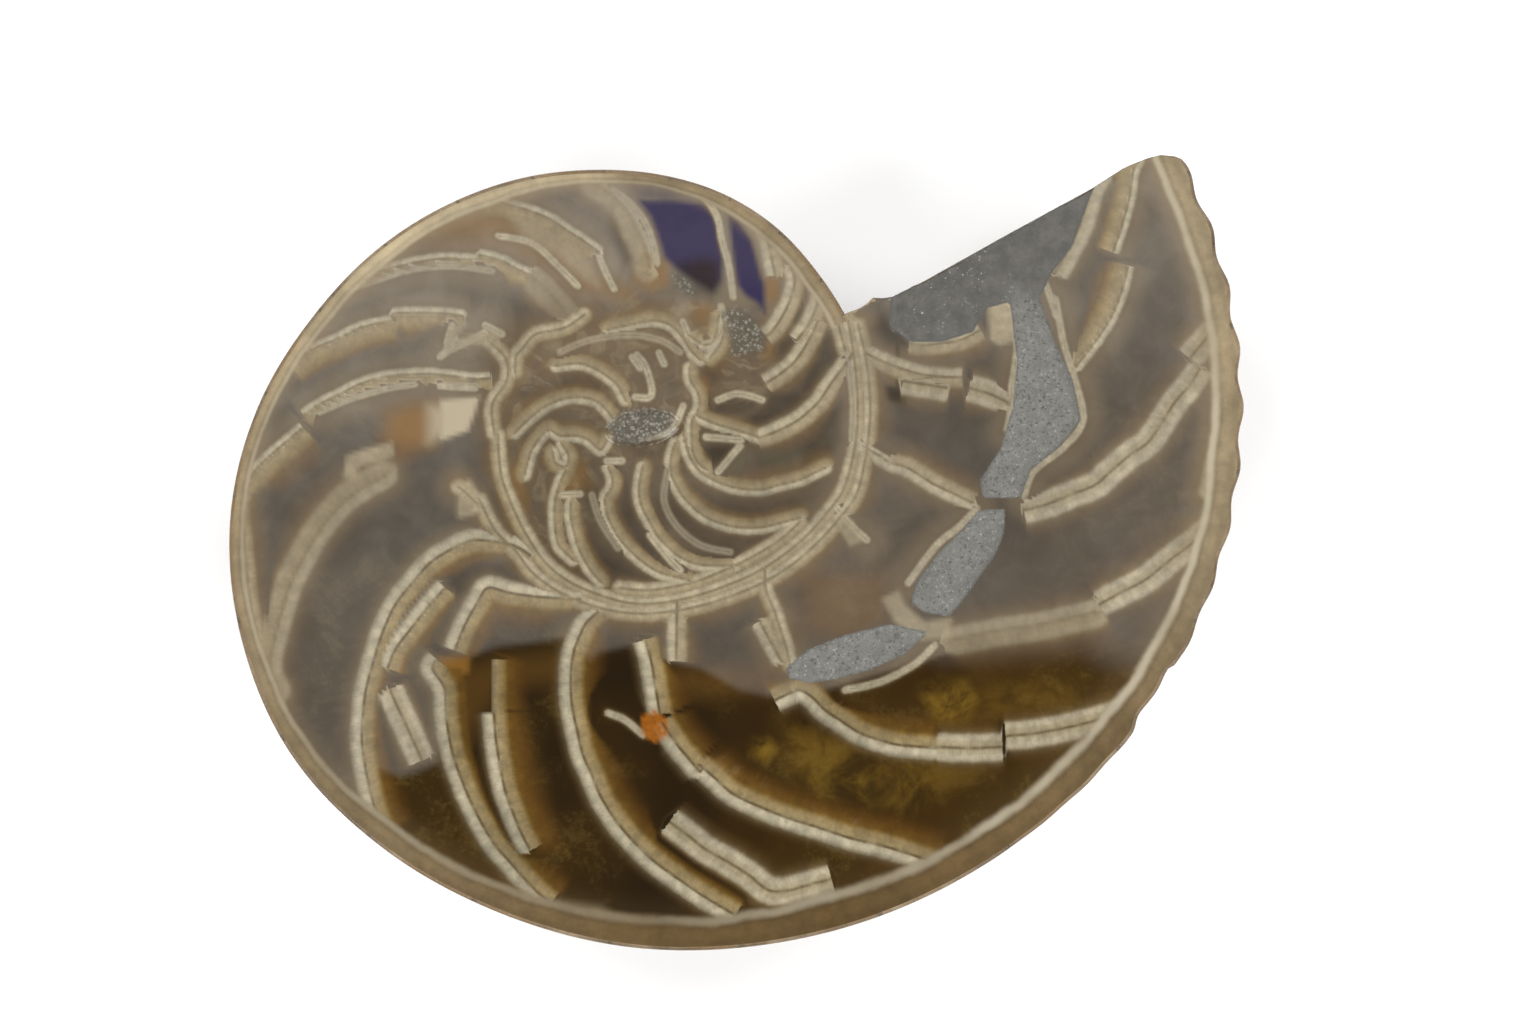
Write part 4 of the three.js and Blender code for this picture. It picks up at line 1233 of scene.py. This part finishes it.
class NautilusColours(bpy.types.PropertyGroup):
    """Colours of the fossil's materials."""
    glass_dark: colour_setting("Dark glass", "Clear calcite at its darkest", 32, 21, 4)
    glass_brown: colour_setting("Brown glass", "Clear calcite where it is lighter", 62, 40, 6)
    glass_olive: colour_setting("Olive glass", "Broad greenish tint of the chambers", 50, 38, 10)
    moss: colour_setting("Moss", "Small yellowish clouds in the chambers", 92, 74, 34)
    olive: colour_setting("Olive", "Greenest chambers of the inner whorl", 52, 54, 26)
    yellow: colour_setting("Yellow clouds", "Yellow clouds of the lower chambers", 120, 92, 28)
    amber: colour_setting("Amber", "Orange brown crystal", 122, 86, 34)
    violet: colour_setting("Violet", "Violet crystal at the top", 32, 24, 68)
    # Real pale shell in the wall's bright line, and also the colour of the painted highlight along lines
    shell_white: colour_setting("White shell", "Brightest edge of a shell line", 190, 180, 156)
    shell_cream: colour_setting("Cream shell", "Cream streaks of a shell line", 158, 144, 114)
    shell_tan: colour_setting("Tan shell", "Duller band of a shell line", 130, 108, 72)
    shell_brown: colour_setting("Brown shell", "Brown streaks of a shell line", 128, 104, 66)
    milk: colour_setting("Milk", "The palest cloudy crystal", 186, 172, 144)
    rust: colour_setting("Rust", "Small orange crystal", 150, 88, 24)
    seam: colour_setting("Seam", "Thin dark line inside the shell lines", 84, 68, 42)
    wall_brown: colour_setting("Brown wall", "The shell's outer wall", 90, 67, 32)
    wall_tan: colour_setting("Tan wall", "Lighter parts of the outer wall", 150, 128, 96)
    flank_dark: colour_setting("Growth line", "Dark growth lines of the flank", 74, 56, 36)
    # Colour of the painted reflection of the overhead light on the polished face
    painted_reflection: colour_setting("Veil", "Milky veil over the upper chambers", 173, 164, 151)
    silt: colour_setting("Silt", "Grey sediment", 101, 98, 92)
    silt_dark: colour_setting("Dark silt", "Dark grains of the sediment", 82, 80, 75)
    # Paler sediment, and also the colour of painted glints outside the sediment
    silt_pale: colour_setting("Pale silt", "Paler sediment of the siphuncle", 124, 123, 117)
    # Colour of the painted glints
    spark: colour_setting("Spark", "Bright grains", 205, 208, 208)
    # Dark grains, and also the colour of the painted shade along the sediment's edge
    pepper: colour_setting("Pepper", "Darkest grains of the siphuncle", 62, 62, 58)
    inner_brown: colour_setting("Inner brown", "Marbled crystal of the inner whorl", 104, 78, 38)
    grain_light: colour_setting("Light grains", "Palest grains of the siphuncle", 168, 168, 160)
    wall_cream: colour_setting("Cream wall", "Palest parts of the outer wall on the face", 190, 174, 142)
    # Colour of the painted shade in the gaps between the crystals
    grit_dark: colour_setting("Dark grit", "Hollows between the crystals", 80, 74, 60)
    grit_pale: colour_setting("Grit", "Grey crystals of the hollow", 146, 142, 128)


class NautilusSizes(bpy.types.PropertyGroup):
    """Sizes of the fossil's mesh."""
    columns: IntProperty(name="Columns", description="Steps of the flank round the whorl", default=640)
    wall_rings: IntProperty(name="Wall rings", description="Steps across the broken wall", default=48)
    spacing: FloatProperty(name="Face spacing", description="Distance between cuts of the face, in mm",
                           default=0.38)
    fine_low: FloatVectorProperty(name="Fine from", description="Lower left of the finely cut part, in mm",
                                  size=2, default=(-25.5, -6.5))
    fine_high: FloatVectorProperty(name="Fine to", description="Upper right of the finely cut part, in mm",
                                   size=2, default=(14, 24))


class NautilusStage(bpy.types.PropertyGroup):
    """Camera, light and floor."""
    lens: FloatProperty(name="Lens", description="Focal length of the camera", unit="CAMERA", default=90)
    view_width: FloatProperty(name="View width", description="Width seen at the cut face, in mm",
                              default=153.6)
    view_centre: FloatVectorProperty(name="View centre", description="Middle of the view, in mm",
                                     size=2, default=(3.1, 4.0))
    light_power: FloatProperty(name="Light power", description="Power of each soft light", unit="POWER",
                               default=6.8)


class NAUTILUS_OT_shell_half(bpy.types.Operator):
    """Builds the polished half of the shell"""
    bl_idname = "nautilus.shell_half"
    bl_label = "Shell half"

    def execute(self, context):
        sizes = context.scene.nautilus_sizes
        bm = build_mesh(sizes.columns, sizes.wall_rings, sizes.spacing,
                        (tuple(sizes.fine_low), tuple(sizes.fine_high)))
        bmesh.ops.scale(bm, vec=(MM, MM, MM), verts=bm.verts)
        mesh = bpy.data.meshes.new("fossil_half")
        bm.to_mesh(mesh)
        bm.free()
        piece = bpy.data.objects.new("fossil_half", mesh)
        context.scene.collection.objects.link(piece)
        mark_mesh(mesh)
        unwrap(mesh)
        mesh.shade_smooth()
        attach(piece, "root")
        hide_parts(NODE)
        return {"FINISHED"}


class NAUTILUS_OT_finishes(bpy.types.Operator):
    """Gives the shell its materials"""
    bl_idname = "nautilus.finishes"
    bl_label = "Finishes"

    def execute(self, context):
        settings = context.scene.nautilus_colours
        colours = {name: tuple(getattr(settings, name)) for name in NautilusColours.__annotations__}
        grain = make_fine_grain()
        piece = bpy.data.objects["fossil_half"]
        for finish in (finish_polished, finish_shell, finish_broken_wall):
            piece.data.materials.append(finish(colours, grain))
        return {"FINISHED"}


# The stage, in metres, with its lights evenly round the fossil
FLOOR_HALF_WIDTH, FLOOR_PALENESS, FLOOR_ROUGHNESS = 2, 0.94, 0.9
ROOM_LIGHT = 0.12
LIGHTS, LIGHT_WIDTH, LIGHT_DISTANCE, LIGHT_HEIGHT = 4, 0.7, 0.75, 0.62
NEAREST_SEEN, FARTHEST_SEEN = 0.01, 20


def lay_floor(scene):
    bm = bmesh.new()
    bmesh.ops.create_grid(bm, x_segments=1, y_segments=1, size=FLOOR_HALF_WIDTH)
    mesh = bpy.data.meshes.new("floor")
    bm.to_mesh(mesh)
    bm.free()
    floor = bpy.data.objects.new("floor", mesh)
    scene.collection.objects.link(floor)
    material, _w, skin = new_material("pale_floor")
    skin.inputs["Base Color"].default_value = (FLOOR_PALENESS, FLOOR_PALENESS, FLOOR_PALENESS, 1)
    skin.inputs["Roughness"].default_value = FLOOR_ROUGHNESS
    mesh.materials.append(material)


def light_room(scene, power):
    world = bpy.data.worlds.new("soft_room")
    world.use_nodes = True
    background = world.node_tree.nodes["Background"]
    background.inputs["Color"].default_value = (1, 1, 1, 1)
    background.inputs["Strength"].default_value = ROOM_LIGHT
    scene.world = world
    for number in range(LIGHTS):
        turn = 2 * math.pi * (number + 0.5) / LIGHTS
        light = bpy.data.lights.new(f"soft_light_{number}", "AREA")
        light.shape = "DISK"
        light.size = LIGHT_WIDTH
        light.energy = power
        lamp = bpy.data.objects.new(light.name, light)
        lamp.location = (LIGHT_DISTANCE * math.cos(turn), LIGHT_DISTANCE * math.sin(turn), LIGHT_HEIGHT)
        lamp.rotation_euler = (-lamp.location).to_track_quat("-Z", "Y").to_euler()
        scene.collection.objects.link(lamp)


def set_camera(scene, lens, view_width, view_centre):
    camera = bpy.data.cameras.new("camera")
    camera.lens = lens
    camera.sensor_width = 36
    camera.clip_start, camera.clip_end = NEAREST_SEEN, FARTHEST_SEEN
    eye = bpy.data.objects.new("camera", camera)
    away = view_width * lens / camera.sensor_width
    eye.location = Vector((*view_centre, FACE_HEIGHT + away)) * MM
    scene.collection.objects.link(eye)
    scene.camera = eye
    scene.view_settings.view_transform = "Standard"


class NAUTILUS_OT_stage(bpy.types.Operator):
    """Sets up the floor, the soft lights and the camera"""
    bl_idname = "nautilus.stage"
    bl_label = "Stage"

    def execute(self, context):
        stage = context.scene.nautilus_stage
        lay_floor(context.scene)
        light_room(context.scene, stage.light_power)
        set_camera(context.scene, stage.lens, stage.view_width, stage.view_centre)
        return {"FINISHED"}


OPERATORS = (NAUTILUS_OT_shell_half, NAUTILUS_OT_finishes, NAUTILUS_OT_stage)


class NAUTILUS_PT_panel(bpy.types.Panel):
    """Lists the steps that build the fossil"""
    bl_idname = "NAUTILUS_PT_panel"
    bl_label = "Fossil nautilus half"
    bl_space_type = "VIEW_3D"
    bl_region_type = "UI"
    bl_category = "Fossil"

    def draw(self, context):
        for operator in OPERATORS:
            self.layout.operator(operator.bl_idname)


GROUPS = (
    (NautilusColours, "nautilus_colours"),
    (NautilusSizes, "nautilus_sizes"),
    (NautilusStage, "nautilus_stage"),
)


def register():
    for group, name in GROUPS:
        bpy.utils.register_class(group)
        setattr(bpy.types.Scene, name, PointerProperty(type=group))
    for operator in OPERATORS:
        bpy.utils.register_class(operator)
    bpy.utils.register_class(NAUTILUS_PT_panel)


def unregister():
    bpy.utils.unregister_class(NAUTILUS_PT_panel)
    for operator in reversed(OPERATORS):
        bpy.utils.unregister_class(operator)
    for group, name in reversed(GROUPS):
        delattr(bpy.types.Scene, name)
        bpy.utils.unregister_class(group)


def main():
    register()
    bpy.ops.nautilus.shell_half()
    bpy.ops.nautilus.finishes()
    bpy.ops.nautilus.stage()


if __name__ == "__main__":
    main()
